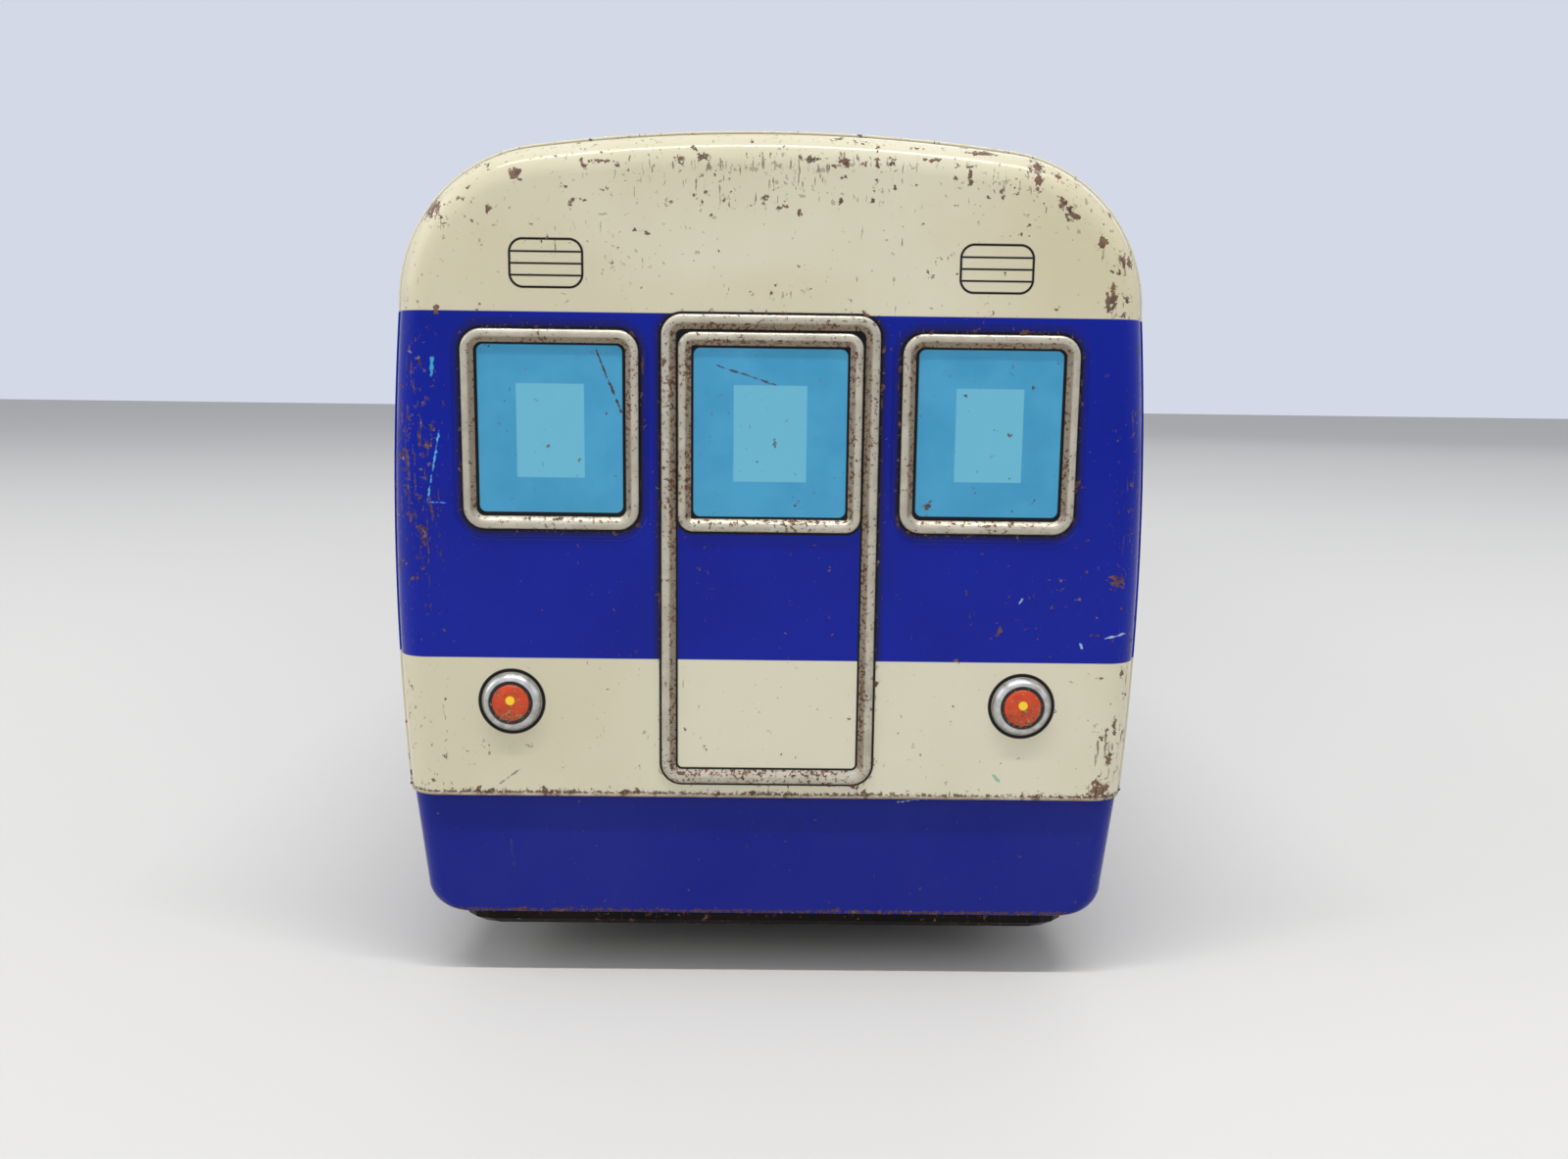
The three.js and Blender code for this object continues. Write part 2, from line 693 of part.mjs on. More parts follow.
const rivetPlaces = () => {
  const motorX = plateOut + plateThickness + footWidth / 2;
  const motorY = [rearAxle - plateBehind + rivetMargin, rearAxle + plateAhead - rivetMargin];
  const motor = motorY.flatMap((y, row) =>
    [1, -1].map((side) => ["motor_rivet_" + (row * 2 + (side > 0 ? 1 : 2)), side * motorX, y]),
  );
  const front = [1, -1].map((side) => [
    "bracket_rivet_" + (side > 0 ? 1 : 2),
    side * bracketRivetOut,
    frontAxle,
  ]);
  return [...motor, ...front];
};

const uprightLathe = (profile, x, y) =>
  solidOf(latheOf(profile, rodFacets).rotateX(Math.PI / 2).translate(x, y, 0));

function rivetHole(x, y) {
  const radius = rivetRadius + runningGap;
  const [low, high] = [baseFloor - overrun, footTop + overrun];
  return uprightLathe([[0, low], [radius, low], [radius, high], [0, high]], x, y);
}

function makeRivets() {
  const [low, high] = [baseFloor - seam, footTop + seam];
  const profile = [
    [0, low - rivetHeadHeight],
    [rivetHead, low - rivetHeadHeight],
    [rivetHead, low],
    [rivetRadius, low],
    [rivetRadius, high],
    [rivetHead, high],
    [rivetHead, high + rivetHeadHeight],
    [0, high + rivetHeadHeight],
  ];
  for (const [name, x, y] of rivetPlaces()) {
    addPiece(name, uprightLathe(profile, x, y), finish.steel);
  }
}

// Wheels, axles and the front bracket

function makeWheel(place, side, y) {
  const middle = side * trackHalf;
  const bore = axleRadius + pressGap;
  const [half, web] = [tyreWidth / 2, webThickness / 2];
  const outline = [
    [bore, -bossInner],
    [bossRadius, -bossInner],
    [bossRadius, webOut - web],
    [rimRadius - rimWall, webOut - web],
    [rimRadius - rimWall, -half],
    [rimRadius, -half],
    [rimRadius, half],
    [rimRadius - rimWall, half],
    [rimRadius - rimWall, webOut + web],
    [bossRadius, webOut + web],
    [bossRadius, bossOuter],
    [bore, bossOuter],
    [bore, -bossInner],
  ];
  const phase = Math.PI / wheelFacets;
  const placed = (profile) => profile.map(([r, out]) => [r, middle + side * out]);
  addPiece("wheel_" + place, turned(placed(outline), y, axleHeight, wheelFacets, phase), finish.steel);
  const seat = rimRadius + pressGap;
  const tread = tyreRadius - tyreShoulder;
  const tyre = [
    [seat, -half],
    [tread, -half],
    [tyreRadius, -half + tyreShoulder],
    [tyreRadius, half - tyreShoulder],
    [tread, half],
    [seat, half],
    [seat, -half],
  ];
  addPiece("tyre_" + place, turned(placed(tyre), y, axleHeight, wheelFacets, phase), finish.rubber);
}

function makeAxles() {
  const end = trackHalf + bossOuter + axleStub;
  for (const [name, y] of [["rear", rearAxle], ["front", frontAxle]]) {
    addPiece(name + "_axle", rod(axleRadius, -end, end, y, axleHeight), finish.steel);
    makeWheel(name + "_right", 1, y);
    makeWheel(name + "_left", -1, y);
  }
  const bore = axleRadius + pressGap;
  const from = plateOut + plateThickness + endPlay;
  const to = trackHalf - bossInner - seam;
  addPiece("axle_spacer_right", tube(spacerRadius, bore, from, to, rearAxle, axleHeight), finish.brass);
  addPiece("axle_spacer_left", tube(spacerRadius, bore, -to, -from, rearAxle, axleHeight), finish.brass);
}

function makeFrontBracket() {
  const outer = trackHalf - bossInner - endPlay;
  const inner = outer - plateThickness;
  const [back, front] = [frontAxle - bracketLength / 2, frontAxle + bracketLength / 2];
  const earTop = axleHeight + bracketAbove;
  const ears = [-1, 1].map((side) => {
    const [x0, x1] = side > 0 ? [inner, outer] : [-outer, -inner];
    return block(x0, x1, back, front, footFloor, earTop);
  });
  const strip = block(-outer, outer, back, front, footFloor, footTop);
  const hole = rod(axleRadius + runningGap, -outer - overrun, outer + overrun, frontAxle, axleHeight);
  const holes = [-1, 1].map((side) => rivetHole(side * bracketRivetOut, frontAxle));
  addPiece("front_bracket", cutBy(joined([strip, ...ears]), [hole, ...holes]), finish.steel);
}

// Friction motor: each arbor carries a pinion that the gear before it drives

const meshDistance = (a, b) => ((a + b) * gearModule) / 2;
const fromArbor = ([y, z], angle, distance) => [
  y + distance * Math.cos(radians(angle)),
  z + distance * Math.sin(radians(angle)),
];
const drivePlace = [rearAxle, axleHeight];
const firstPlace = fromArbor(drivePlace, firstMeshAngle, meshDistance(driveTeeth, firstPinionTeeth));
const secondPlace = fromArbor(firstPlace, secondMeshAngle, meshDistance(wheelTeeth, pinionTeeth));
const thirdPlace = fromArbor(secondPlace, thirdMeshAngle, meshDistance(wheelTeeth, pinionTeeth));
const thirdPlane = secondPlane + pinionLength / 2 + seam + gearThickness / 2;

// A spur gear's outline in Y and Z, with one tooth centred on the stated angle
function gearOutline([y, z], teeth, toothAngle) {
  const pitchRadius = (teeth * gearModule) / 2;
  const baseRadius = pitchRadius * Math.cos(radians(pressureAngle));
  const involute = (angle) => Math.tan(angle) - angle;
  const halfAtPitch = ((Math.PI * gearModule) / 2 - backlash) / 2 / pitchRadius;
  const halfAt = (radius) => {
    const angle = Math.acos(Math.min(1, baseRadius / radius));
    return halfAtPitch + involute(radians(pressureAngle)) - involute(angle);
  };
  const root = pitchRadius - dedendumShare * gearModule;
  const tip = pitchRadius + addendumShare * gearModule;
  const outline = new THREE.Shape();
  const points = [];
  for (let i = 0; i < teeth; i++) {
    const middle = toothAngle + (2 * Math.PI * i) / teeth;
    points.push([root, middle - halfAt(root)], [tip, middle - halfAt(tip)]);
    points.push([tip, middle + halfAt(tip)], [root, middle + halfAt(root)]);
  }
  outline.setFromPoints(
    points.map(([r, a]) => new THREE.Vector2(y + r * Math.cos(a), z + r * Math.sin(a))),
  );
  return outline;
}

function gear(place, teeth, toothAngle, plane, thickness) {
  const outline = gearOutline(place, teeth, toothAngle);
  return alongX(outline, plane - thickness / 2, plane + thickness / 2);
}

const bored = (solid, [y, z], radius) => {
  const reach = plateOut + overrun;
  return solid.subtract(rod(radius, -reach, reach, y, z));
};

function makeMotorTrain() {
  const [first, second, third] = [firstMeshAngle, secondMeshAngle, thirdMeshAngle].map(radians);
  // A driven pinion has a gap where the gear before it has a tooth
  const facing = (angle, teeth) => angle + Math.PI + Math.PI / teeth;
  const end = plateOut + plateThickness + tenonEnd;
  const arbor = ([y, z], teeth, angle, plane) =>
    rod(arborRadius, -end, end, y, z).add(
      gear([y, z], teeth, facing(angle, teeth), plane, pinionLength),
    );
  const pressed = arborRadius + pressGap;

  const driveGear = gear(drivePlace, driveTeeth, first, firstPlane, gearThickness);
  addPiece("drive_gear", bored(driveGear, drivePlace, axleRadius + pressGap), finish.brass);

  addPiece("first_arbor", arbor(firstPlace, firstPinionTeeth, first, firstPlane), finish.steel);
  const firstGear = gear(firstPlace, wheelTeeth, second, secondPlane, gearThickness);
  addPiece("first_gear", bored(firstGear, firstPlace, pressed), finish.brass);

  addPiece("second_arbor", arbor(secondPlace, pinionTeeth, second, secondPlane), finish.steel);
  const secondGear = gear(secondPlace, wheelTeeth, third, thirdPlane, gearThickness);
  addPiece("second_gear", bored(secondGear, secondPlace, pressed), finish.brass);

  addPiece("flywheel_arbor", arbor(thirdPlace, pinionTeeth, third, thirdPlane), finish.steel);
  const [from, to] = [flywheelOut - flywheelThickness / 2, flywheelOut + flywheelThickness / 2];
  const disc = [
    [pressed, from],
    [flywheelRadius, from],
    [flywheelRadius, to],
    [pressed, to],
    [pressed, from],
  ];
  addPiece("flywheel", turned(disc, ...thirdPlace, wheelFacets), finish.zinc);
}

const postPlaces = postShares.map(([along, up]) => [
  rearAxle + along * (along < 0 ? plateBehind : plateAhead),
  up * plateTop,
]);

function makeMotorFrame() {
  const [back, front] = [rearAxle - plateBehind, rearAxle + plateAhead];
  const outline = new THREE.Shape();
  outline.moveTo(back, footFloor);
  outline.lineTo(front, footFloor);
  outline.lineTo(front, plateTop - plateChamfer);
  outline.lineTo(front - plateChamfer, plateTop);
  outline.lineTo(back + plateChamfer, plateTop);
  outline.lineTo(back, plateTop - plateChamfer);
  outline.closePath();
  const reach = plateOut + plateThickness + overrun;
  const shaftHoles = [
    [axleRadius, drivePlace],
    ...[firstPlace, secondPlace, thirdPlace].map((place) => [arborRadius, place]),
    ...postPlaces.map((place) => [postTenon, place]),
  ].map(([radius, [y, z]]) => rod(radius + runningGap, -reach, reach, y, z));
  const rivetHoles = rivetPlaces().map(([, x, y]) => rivetHole(x, y));
  for (const [name, side] of [["right", 1], ["left", -1]]) {
    const span = (from, to) => (side > 0 ? [from, to] : [-to, -from]);
    const plate = alongX(outline, ...span(plateOut, plateOut + plateThickness));
    const foot = block(
      ...span(plateOut, plateOut + plateThickness + footWidth), back, front, footFloor, footTop,
    );
    addPiece("motor_plate_" + name, cutBy(plate.add(foot), [...shaftHoles, ...rivetHoles]), finish.steel);
  }
  const [shoulder, tip] = [plateOut - seam, plateOut + plateThickness + tenonEnd];
  postPlaces.forEach(([y, z], i) => {
    const profile = [
      [0, -tip],
      [postTenon, -tip],
      [postTenon, -shoulder],
      [postRadius, -shoulder],
      [postRadius, shoulder],
      [postTenon, shoulder],
      [postTenon, tip],
      [0, tip],
    ];
    addPiece("motor_post_" + (i + 1), turned(profile, y, z), finish.steel);
  });
}

makeBodyShell();
makeRearCap();
makeNose();
makeNoseFittings();
makeSkirt();
makeBasePan();
makeRivets();
makeAxles();
makeFrontBracket();
makeMotorTrain();
makeMotorFrame();

export default part;
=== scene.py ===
import math
from functools import partial, reduce

import bmesh
import bpy
import numpy as np
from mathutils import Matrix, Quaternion, Vector


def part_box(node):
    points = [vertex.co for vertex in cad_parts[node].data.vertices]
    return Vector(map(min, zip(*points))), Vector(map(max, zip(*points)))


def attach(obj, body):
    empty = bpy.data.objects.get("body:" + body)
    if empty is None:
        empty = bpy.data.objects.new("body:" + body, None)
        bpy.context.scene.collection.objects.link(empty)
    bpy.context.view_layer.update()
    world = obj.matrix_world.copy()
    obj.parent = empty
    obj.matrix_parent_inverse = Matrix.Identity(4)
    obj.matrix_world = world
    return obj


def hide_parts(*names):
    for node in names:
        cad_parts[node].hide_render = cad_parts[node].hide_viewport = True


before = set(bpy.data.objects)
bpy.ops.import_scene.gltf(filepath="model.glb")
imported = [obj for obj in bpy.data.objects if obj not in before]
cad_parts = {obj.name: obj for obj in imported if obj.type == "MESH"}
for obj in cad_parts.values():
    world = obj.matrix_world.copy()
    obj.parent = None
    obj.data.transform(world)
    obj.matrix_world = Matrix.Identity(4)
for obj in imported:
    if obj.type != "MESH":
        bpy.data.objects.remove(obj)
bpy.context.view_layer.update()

print("frame loaded:", len(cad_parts), "solids")

mm = 0.001  # sizes are in millimetres, Blender's are in metres


def solidBox(node):
    low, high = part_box(node)
    return np.array(low) / mm, np.array(high) / mm


# Sizes of the upper body, which every sheet-metal piece follows
shellLow, shellHigh = solidBox("body_shell")
body = {
    "width": 112.6,
    "roofHeight": 127.5,
    "crownRise": 2.1,
    "shoulderRadius": 23,
    "sideRadius": 445,
    "widestHeight": 63,
    "sheet": 0.4,
    "seam": 0.3,
    "lap": 0.12,  # gap where the ends lie inside the body sheet
    "rearRadius": 5,
    "flange": 6,
    "lipRow": 0.3,  # a second row of points this far above the lip keeps the shading flat there
}
lipHeight = shellLow[2]
sideRear = shellLow[1]
sideFront = shellHigh[1]
rearFace = sideRear - body["rearRadius"]
noseRoot = sideFront + body["seam"]
joggle = body["sheet"] + body["lap"]
eaves = body["roofHeight"] - body["crownRise"] - body["shoulderRadius"]


def sideHalf(z):
    radius = body["sideRadius"]
    return body["width"] / 2 - radius + np.sqrt(radius**2 - (z - body["widestHeight"]) ** 2)


shoulderX = sideHalf(eaves) - body["shoulderRadius"]
shoulderRise = body["roofHeight"] - eaves
crownRadius = (shoulderX**2 + shoulderRise**2 - body["shoulderRadius"] ** 2) / (
    2 * (shoulderRise - body["shoulderRadius"])
)
crownLean = math.asin(shoulderX / (crownRadius - body["shoulderRadius"]))


def bodySection(inset=0, sideSteps=20, shoulderSteps=18, crownSteps=10):
    z = np.append(lipHeight, np.linspace(lipHeight + body["lipRow"], eaves, sideSteps, endpoint=False))
    side = np.stack([sideHalf(z) - inset, z], 1)
    turn = np.linspace(0, math.pi / 2 - crownLean, shoulderSteps, endpoint=False)
    reach = body["shoulderRadius"] - inset
    shoulder = np.stack([shoulderX + reach * np.cos(turn), eaves + reach * np.sin(turn)], 1)
    turn = np.linspace(crownLean, 0, crownSteps + 1)
    reach = crownRadius - inset
    crown = np.stack([reach * np.sin(turn), body["roofHeight"] - crownRadius + reach * np.cos(turn)], 1)
    right = np.concatenate([side, shoulder, crown])
    return np.concatenate([right, right[-2::-1] * (-1, 1)])


def sectionAt(y, inset=0):
    loop = bodySection(inset)
    return np.stack([loop[:, 0], np.full(len(loop), y), loop[:, 1]], 1)


def sectionHalf(z):
    above = np.maximum(z - eaves, 0)
    shoulder = shoulderX + np.sqrt(np.maximum(body["shoulderRadius"] ** 2 - above**2, 0))
    return np.where(z < eaves, sideHalf(z), shoulder)


def gridFaces(rows, columns, first, closed):
    around = columns if closed else columns - 1
    faces = []
    for r in range(rows - 1):
        low, high = first + r * columns, first + (r + 1) * columns
        for c in range(around):
            after = (c + 1) % columns
            faces.append((low + c, low + after, high + after, high + c))
    return faces


# A piece from grids of points. Each grid is (points, whether its columns close up into a ring), and may end
# with one number per row, which materials read as "across".
def makePiece(name, grids, materials, slot, replaced=(), body="chassis", inside=None, wall=0, wallShift=-1,
              rim=None, crease=38):
    points, faces, marks, count = [], [], [], 0
    for grid, closed, *rowMarks in grids:
        faces += gridFaces(grid.shape[0], grid.shape[1], count, closed)
        points.append(grid.reshape(-1, 3))
        marks += [np.repeat(m, grid.shape[1]) for m in rowMarks]
        count += len(points[-1])
    mesh = bpy.data.meshes.new(name)
    mesh.from_pydata((np.concatenate(points) * mm).tolist(), [], faces)
    if marks:
        mesh.attributes.new("across", "FLOAT", "POINT").data.foreach_set("value", np.concatenate(marks))
    work = bmesh.new()
    work.from_mesh(mesh)
    bmesh.ops.remove_doubles(work, verts=work.verts, dist=2e-6)
    bmesh.ops.dissolve_degenerate(work, edges=work.edges, dist=1e-7)
    bmesh.ops.recalc_face_normals(work, faces=work.faces)
    if inside is not None:
        middle = Vector(inside) * mm
        outward = sum((f.calc_center_median() - middle).dot(f.normal) * f.calc_area() for f in work.faces)
        if outward < 0:
            bmesh.ops.reverse_faces(work, faces=work.faces)
    work.to_mesh(mesh)
    work.free()
    mesh.shade_smooth()
    mesh.set_sharp_from_angle(angle=math.radians(crease))
    piece = bpy.data.objects.new(name, mesh)
    bpy.context.scene.collection.objects.link(piece)
    for material in materials:
        mesh.materials.append(material)
    if wall:
        thickness = piece.modifiers.new("sheet thickness", "SOLIDIFY")
        thickness.thickness = wall * mm
        thickness.offset = wallShift
        thickness.use_even_offset = True
        thickness.material_offset = len(materials) - 1
        thickness.material_offset_rim = len(materials) - 1 if rim is None else rim
    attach(piece, body)
    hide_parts(*replaced)
    return piece


# A turned form about an axis. Each profile point is (radius, distance along the axis).
def turnedGrid(profile, origin, axis, around=96):
    axis = np.array(axis, float) / np.linalg.norm(axis)
    across = np.cross(axis, (0, 0, 1))
    across /= np.linalg.norm(across)
    up = np.cross(across, axis)
    turn = np.linspace(0, 2 * math.pi, around, endpoint=False)
    ring = np.outer(np.cos(turn), across) + np.outer(np.sin(turn), up)
    return np.array([np.array(origin) + axis * along + radius * ring for radius, along in profile]), True


# The points of a rounded corner between two ends of a profile
def roundedCorner(middle, radius, start, end, steps=6):
    turn = np.radians(np.linspace(start, end, steps + 1))
    return [(middle[0] + radius * math.cos(t), middle[1] + radius * math.sin(t)) for t in turn]


# A pressed ridge that follows a rounded rectangle: a steep outer side, a land and a long inner slope
ridge = {
    "width": 2.1,
    "height": 0.68,
    "corner": 3.2,
    "cornerSteps": 10,
    "sunk": 0.25,  # its foot lies this far inside the sheet
    "profileShares": [
        (0, 0), (0.03, 0.3), (0.08, 0.62), (0.15, 0.84), (0.24, 0.95), (0.35, 1), (0.46, 0.99),
        (0.56, 0.9), (0.66, 0.72), (0.76, 0.48), (0.85, 0.27), (0.93, 0.11), (1, 0.03),
    ],
}


def ridgeGrid(pane, place, perEdge=14):
    half = pane["half"]
    width, corner = [pane.get(key, ridge[key]) for key in ("width", "corner")]
    base, direction = [], []
    signs = [(1, -1), (1, 1), (-1, 1), (-1, -1)]
    middles = [np.array([sx * (half[0] - corner), sz * (half[1] - corner)]) for sx, sz in signs]
    for k in range(4):
        start = (k - 1) * math.pi / 2
        for turn in np.linspace(start, start + math.pi / 2, ridge["cornerSteps"]):
            base.append(middles[k])
            direction.append((math.cos(turn), math.sin(turn)))
        for share in np.linspace(0, 1, perEdge + 1)[1:-1]:
            base.append(middles[k] + share * (middles[(k + 1) % 4] - middles[k]))
            direction.append(direction[-1])
    base, direction = np.array(base), np.array(direction)
    profile = [(share, ridge["height"] * height) for share, height in ridge["profileShares"]]
    low = -ridge["sunk"]
    profile = [(0, low), *profile, (1, low), (0, low)]
    rows = []
    for share, height in profile:
        places = base + direction * (corner - width * share)
        rows.append(place(places[:, 0], places[:, 1], height))
    return np.array(rows), True, [share for share, height in profile]


def onRear(across, up):
    return lambda u, v, height: np.stack([u + across, np.full(len(u), rearFace - height), v + up], 1)


def onSide(side, along, up):
    return lambda u, v, height: np.stack([side * (sideHalf(v + up) + height), u + along, v + up], 1)


# Hex colours are sRGB, and shaders want them linear
def linear(colour):
    parts = [int(colour[i : i + 2], 16) / 255 for i in (1, 3, 5)]
    return (*[c / 12.92 if c <= 0.04045 else ((c + 0.055) / 1.055) ** 2.4 for c in parts], 1)


# Adds a node and gives back one of its outputs. A kind's second word is the node's operation, or the data
# type of a Mix.
def addNode(tree, kind, *inputs, out=0, **settings):
    kind, *mode = kind.split()
    node = tree.nodes.new("ShaderNode" + kind)
    if mode:
        setattr(node, "data_type" if kind == "Mix" else "operation", mode[0])
    for name, value in settings.items():
        setattr(node, name, value)
    for socket, value in zip([s for s in node.inputs if s.enabled], inputs):
        if isinstance(value, bpy.types.NodeSocket):
            tree.links.new(value, socket)
        else:
            socket.default_value = linear(value) if isinstance(value, str) else value
    return [s for s in node.outputs if s.enabled][out]


# A new material, "add" to add nodes to it, and its shader
def startMaterial(name, **fixed):
    material = bpy.data.materials.new(name)
    material.use_nodes = True
    tree = material.node_tree
    shader = tree.nodes["Principled BSDF"]
    for socket, value in fixed.items():
        shader.inputs[socket.replace("_", " ")].default_value = value
    return material, partial(addNode, tree), shader


# Links what varies over a surface to the shader. A relief is a height that is multiplied by a depth in mm.
def linkSurface(shader, relief=None, depth=1, **values):
    tree = shader.id_data
    if relief is not None:
        bump = addNode(tree, "Bump").node
        bump.inputs["Distance"].default_value = depth * mm
        tree.links.new(relief, bump.inputs["Height"])
        values["Normal"] = bump.outputs[0]
    for socket, value in values.items():
        tree.links.new(value, shader.inputs[socket.replace("_", " ")])


def placeInMm(add):
    place = add("VectorMath MULTIPLY", add("TexCoord", out=3), (1000, 1000, 1000))
    return place, *add("SeparateXYZ", place).node.outputs


# Printing on tin: a printed shape is a distance in mm from its edge, below 0 inside
inks = {
    "cream": "#D4CEB6",
    "creamAged": "#CCC5AA",
    "creamYellowed": "#C4B995",
    "creamCloud": 34,  # size of the patches in which one tone goes over to the other
    "blue": "#041B92",
    "blueDeep": "#041888",
    "blueCloud": 22,
    "black": "#0B0B0D",
    "blackBeyond": 0.28,  # how far a window's black runs out past its frame
    "glass": "#4A9CC4",
    "glassDeep": "#4193BC",
    "glassCloud": 7,
    "glassCorner": 1.3,
    "glassInset": 0.32,
    "light": "#6AB3CC",
    "lightCorner": 0.05,
    # dark brown for the dirt and painted shade in the dip round the pressed frames
    "grimeAndShade": "#1B1414",
    "grimeAndShadeReach": 1.3,
    "grimeAndShadeStrength": 0.75,
    "softEdge": 0.07,
    "scratchRagged": 0.9,
    "ior": 1.28,  # a low gloss value, as the print reflects little
}


def roundedShape(add, across, up, half, middle, corner):
    spot = add("VectorMath SUBTRACT", add("CombineXYZ", across, up), (0, middle, 0))
    spot = add("VectorMath ABSOLUTE", spot)
    spot = add("VectorMath SUBTRACT", spot, (half[0] - corner, half[1] - corner, 0))
    outside = add("VectorMath LENGTH", add("VectorMath MAXIMUM", spot, (0, 0, 0)))
    sides = add("SeparateXYZ", spot).node.outputs
    within = add("Math MINIMUM", add("Math MAXIMUM", sides[0], sides[1]), 0)
    return add("Math SUBTRACT", add("Math ADD", outside, within), corner)


def lineAlong(add, shape, width, shift=0.0):
    edge = add("Math ABSOLUTE", add("Math SUBTRACT", shape, shift))
    return add("Math SUBTRACT", edge, width / 2)


def bandShape(add, z, low, high):
    return add("Math MAXIMUM", add("Math SUBTRACT", low, z), add("Math SUBTRACT", z, high))


# How far a spot is from the middle of an oval, in parts of its half width and half height
def fromOval(add, spot, across, up, wide, high):
    away = add("VectorMath SUBTRACT", spot, (across, up, 0))
    return add("VectorMath LENGTH", add("VectorMath DIVIDE", away, (wide, high, 1)))


def printOver(add, under, ink, shape, strength=1.0):
    cover = add("MapRange", shape, inks["softEdge"], -inks["softEdge"], 0.0, strength)
    return add("Mix RGBA", cover, under, ink)


# A cloudy pattern of a size in mm. A noise takes its place, scale, detail and roughness.
def clouds(add, place, size, low=0.0, high=1.0):
    return add("MapRange", add("TexNoise", place, 1 / size, 3.0, 0.5), 0.35, 0.65, low, high)


def unevenInk(add, place, first, second, size):
    return add("Mix RGBA", clouds(add, place, size), first, second)


# One window: a black line round the ridge, blue glass inside and a pale reflection on the glass
windowPane = {
    "half": (12.9, 14.5),
    "middle": 84.5,
    "glassHalf": (10.75, 12.35),
    "glassMiddle": 84.65,
    "lightHalf": (4.9, 6.75),
    "lightMiddle": 84.45,
}
doorPane = {
    "half": (13.45, 14.5),
    "middle": 84.4,
    "corner": 2.3,
    "glassHalf": (11.42, 12.45),
    "glassMiddle": 84.4,
    "lightHalf": (5.3, 6.95),
    "lightMiddle": 84.35,
}
doorFrame = {"half": (15.9, 34.85), "middle": 66.55, "width": 2.35, "line": 0.4, "lineOut": 0.05, "gapFrom": 93}
sidePane = {**windowPane, "half": (19, 14.5), "glassHalf": (16.7, 12.35), "lightHalf": (8, 6.75)}
screenPane = {
    "half": (19, 9.5),
    "middle": 99.5,
    "glassHalf": (16.7, 7.3),
    "glassMiddle": 99.5,
    "lightHalf": (7, 3.4),
    "lightMiddle": 99.5,
}


def fromFrame(add, across, up, pane):
    return roundedShape(add, across, up, pane["half"], pane["middle"], pane.get("corner", ridge["corner"]))


# Full at the foot of a frame, nothing from its reach on and nothing inside the frame
def besideFrames(add, frames, strength, reach):
    near = add("MapRange", frames, reach, 0.25, 0.0, strength)
    return add("Math MULTIPLY", near, add("MapRange", frames, -0.3, 0.1))


# Blue ink, darkened in the dip along the pressed frames with dirt and painted shade
def printBlue(add, under, place, shape, frames):
    blue = unevenInk(add, place, inks["blue"], inks["blueDeep"], inks["blueCloud"])
    # dirt and painted shade: the blue darkens towards the foot of each frame
    dirtAndShade = besideFrames(add, frames, inks["grimeAndShadeStrength"], inks["grimeAndShadeReach"])
    return printOver(add, under, add("Mix RGBA", dirtAndShade, blue, inks["grimeAndShade"]), shape)


def printPane(add, under, place, across, up, pane, edge):
    glass = unevenInk(add, place, inks["glass"], inks["glassDeep"], inks["glassCloud"])
    glassEdge = roundedShape(add, across, up, pane["glassHalf"], pane["glassMiddle"], inks["glassCorner"])
    light = roundedShape(add, across, up, pane["lightHalf"], pane["lightMiddle"], inks["lightCorner"])
    under = printOver(add, under, inks["black"], add("Math SUBTRACT", edge, inks["blackBeyond"]))
    under = printOver(add, under, glass, add("Math ADD", glassEdge, inks["glassInset"]))
    return printOver(add, under, inks["light"], light)


# A black line on both sides of the door's ridge, and black in the gap over its window
def printDoor(add, under, up, door):
    outer = lineAlong(add, door, doorFrame["line"], doorFrame["lineOut"])
    inner = lineAlong(add, door, doorFrame["line"], -doorFrame["width"])
    inside = add("Math ADD", door, doorFrame["width"])
    gap = add("Math MAXIMUM", inside, add("Math SUBTRACT", doorFrame["gapFrom"], up))
    for shape in (outer, inner, gap):
        under = printOver(add, under, inks["black"], shape)
    return under


# Where wear gathers: (across, up, half width, half height, strength) in mm
def wearPatches(add, across, up, patches):
    spot = add("CombineXYZ", across, up)
    near = [add("MapRange", fromOval(add, spot, *oval), 1.0, 0.25, 0.0, most) for *oval, most in patches]
    return reduce(partial(add, "Math MAXIMUM"), near)


# Scratches that run between two points, with a ragged edge: (start, end, width, ink)
def printScratches(add, under, place, across, up, scratches, hidden=0.0):
    spot = add("CombineXYZ", across, up)
    jitter = add("TexNoise", place, 1.4, 3.0, 0.6)
    for start, end, width, ink in scratches:
        run = Vector((end[0] - start[0], end[1] - start[1], 0))
        away = add("VectorMath SUBTRACT", spot, (*start, 0))
        share = add("VectorMath DOT_PRODUCT", away, tuple(run / run.length_squared))
        share = add("Math ADD", share, 0.0, use_clamp=True)
        foot = add("CombineXYZ", *[add("Math MULTIPLY", share, part) for part in run[:2]])
        away = add("VectorMath LENGTH", add("VectorMath SUBTRACT", away, foot))
        away = add("Math MULTIPLY_ADD", jitter, inks["scratchRagged"], away)
        shape = add("Math SUBTRACT", away, width / 2 + inks["scratchRagged"] / 2)
        under = printOver(add, under, ink, add("Math ADD", shape, hidden))
    return under


# Distance from the nearest chip of a list of (across, up, half width, half height), with a ragged edge
def chipShape(add, place, across, up, chips, edge, ragged):
    spot = add("CombineXYZ", across, up)
    nearest = reduce(partial(add, "Math MINIMUM"), [fromOval(add, spot, *chip) for chip in chips])
    jitter = add("TexNoise", place, 1.4, 4.0, 0.65)
    shape = add("Math MULTIPLY_ADD", jitter, ragged, nearest)
    return add("Math SUBTRACT", shape, edge + ragged / 2)


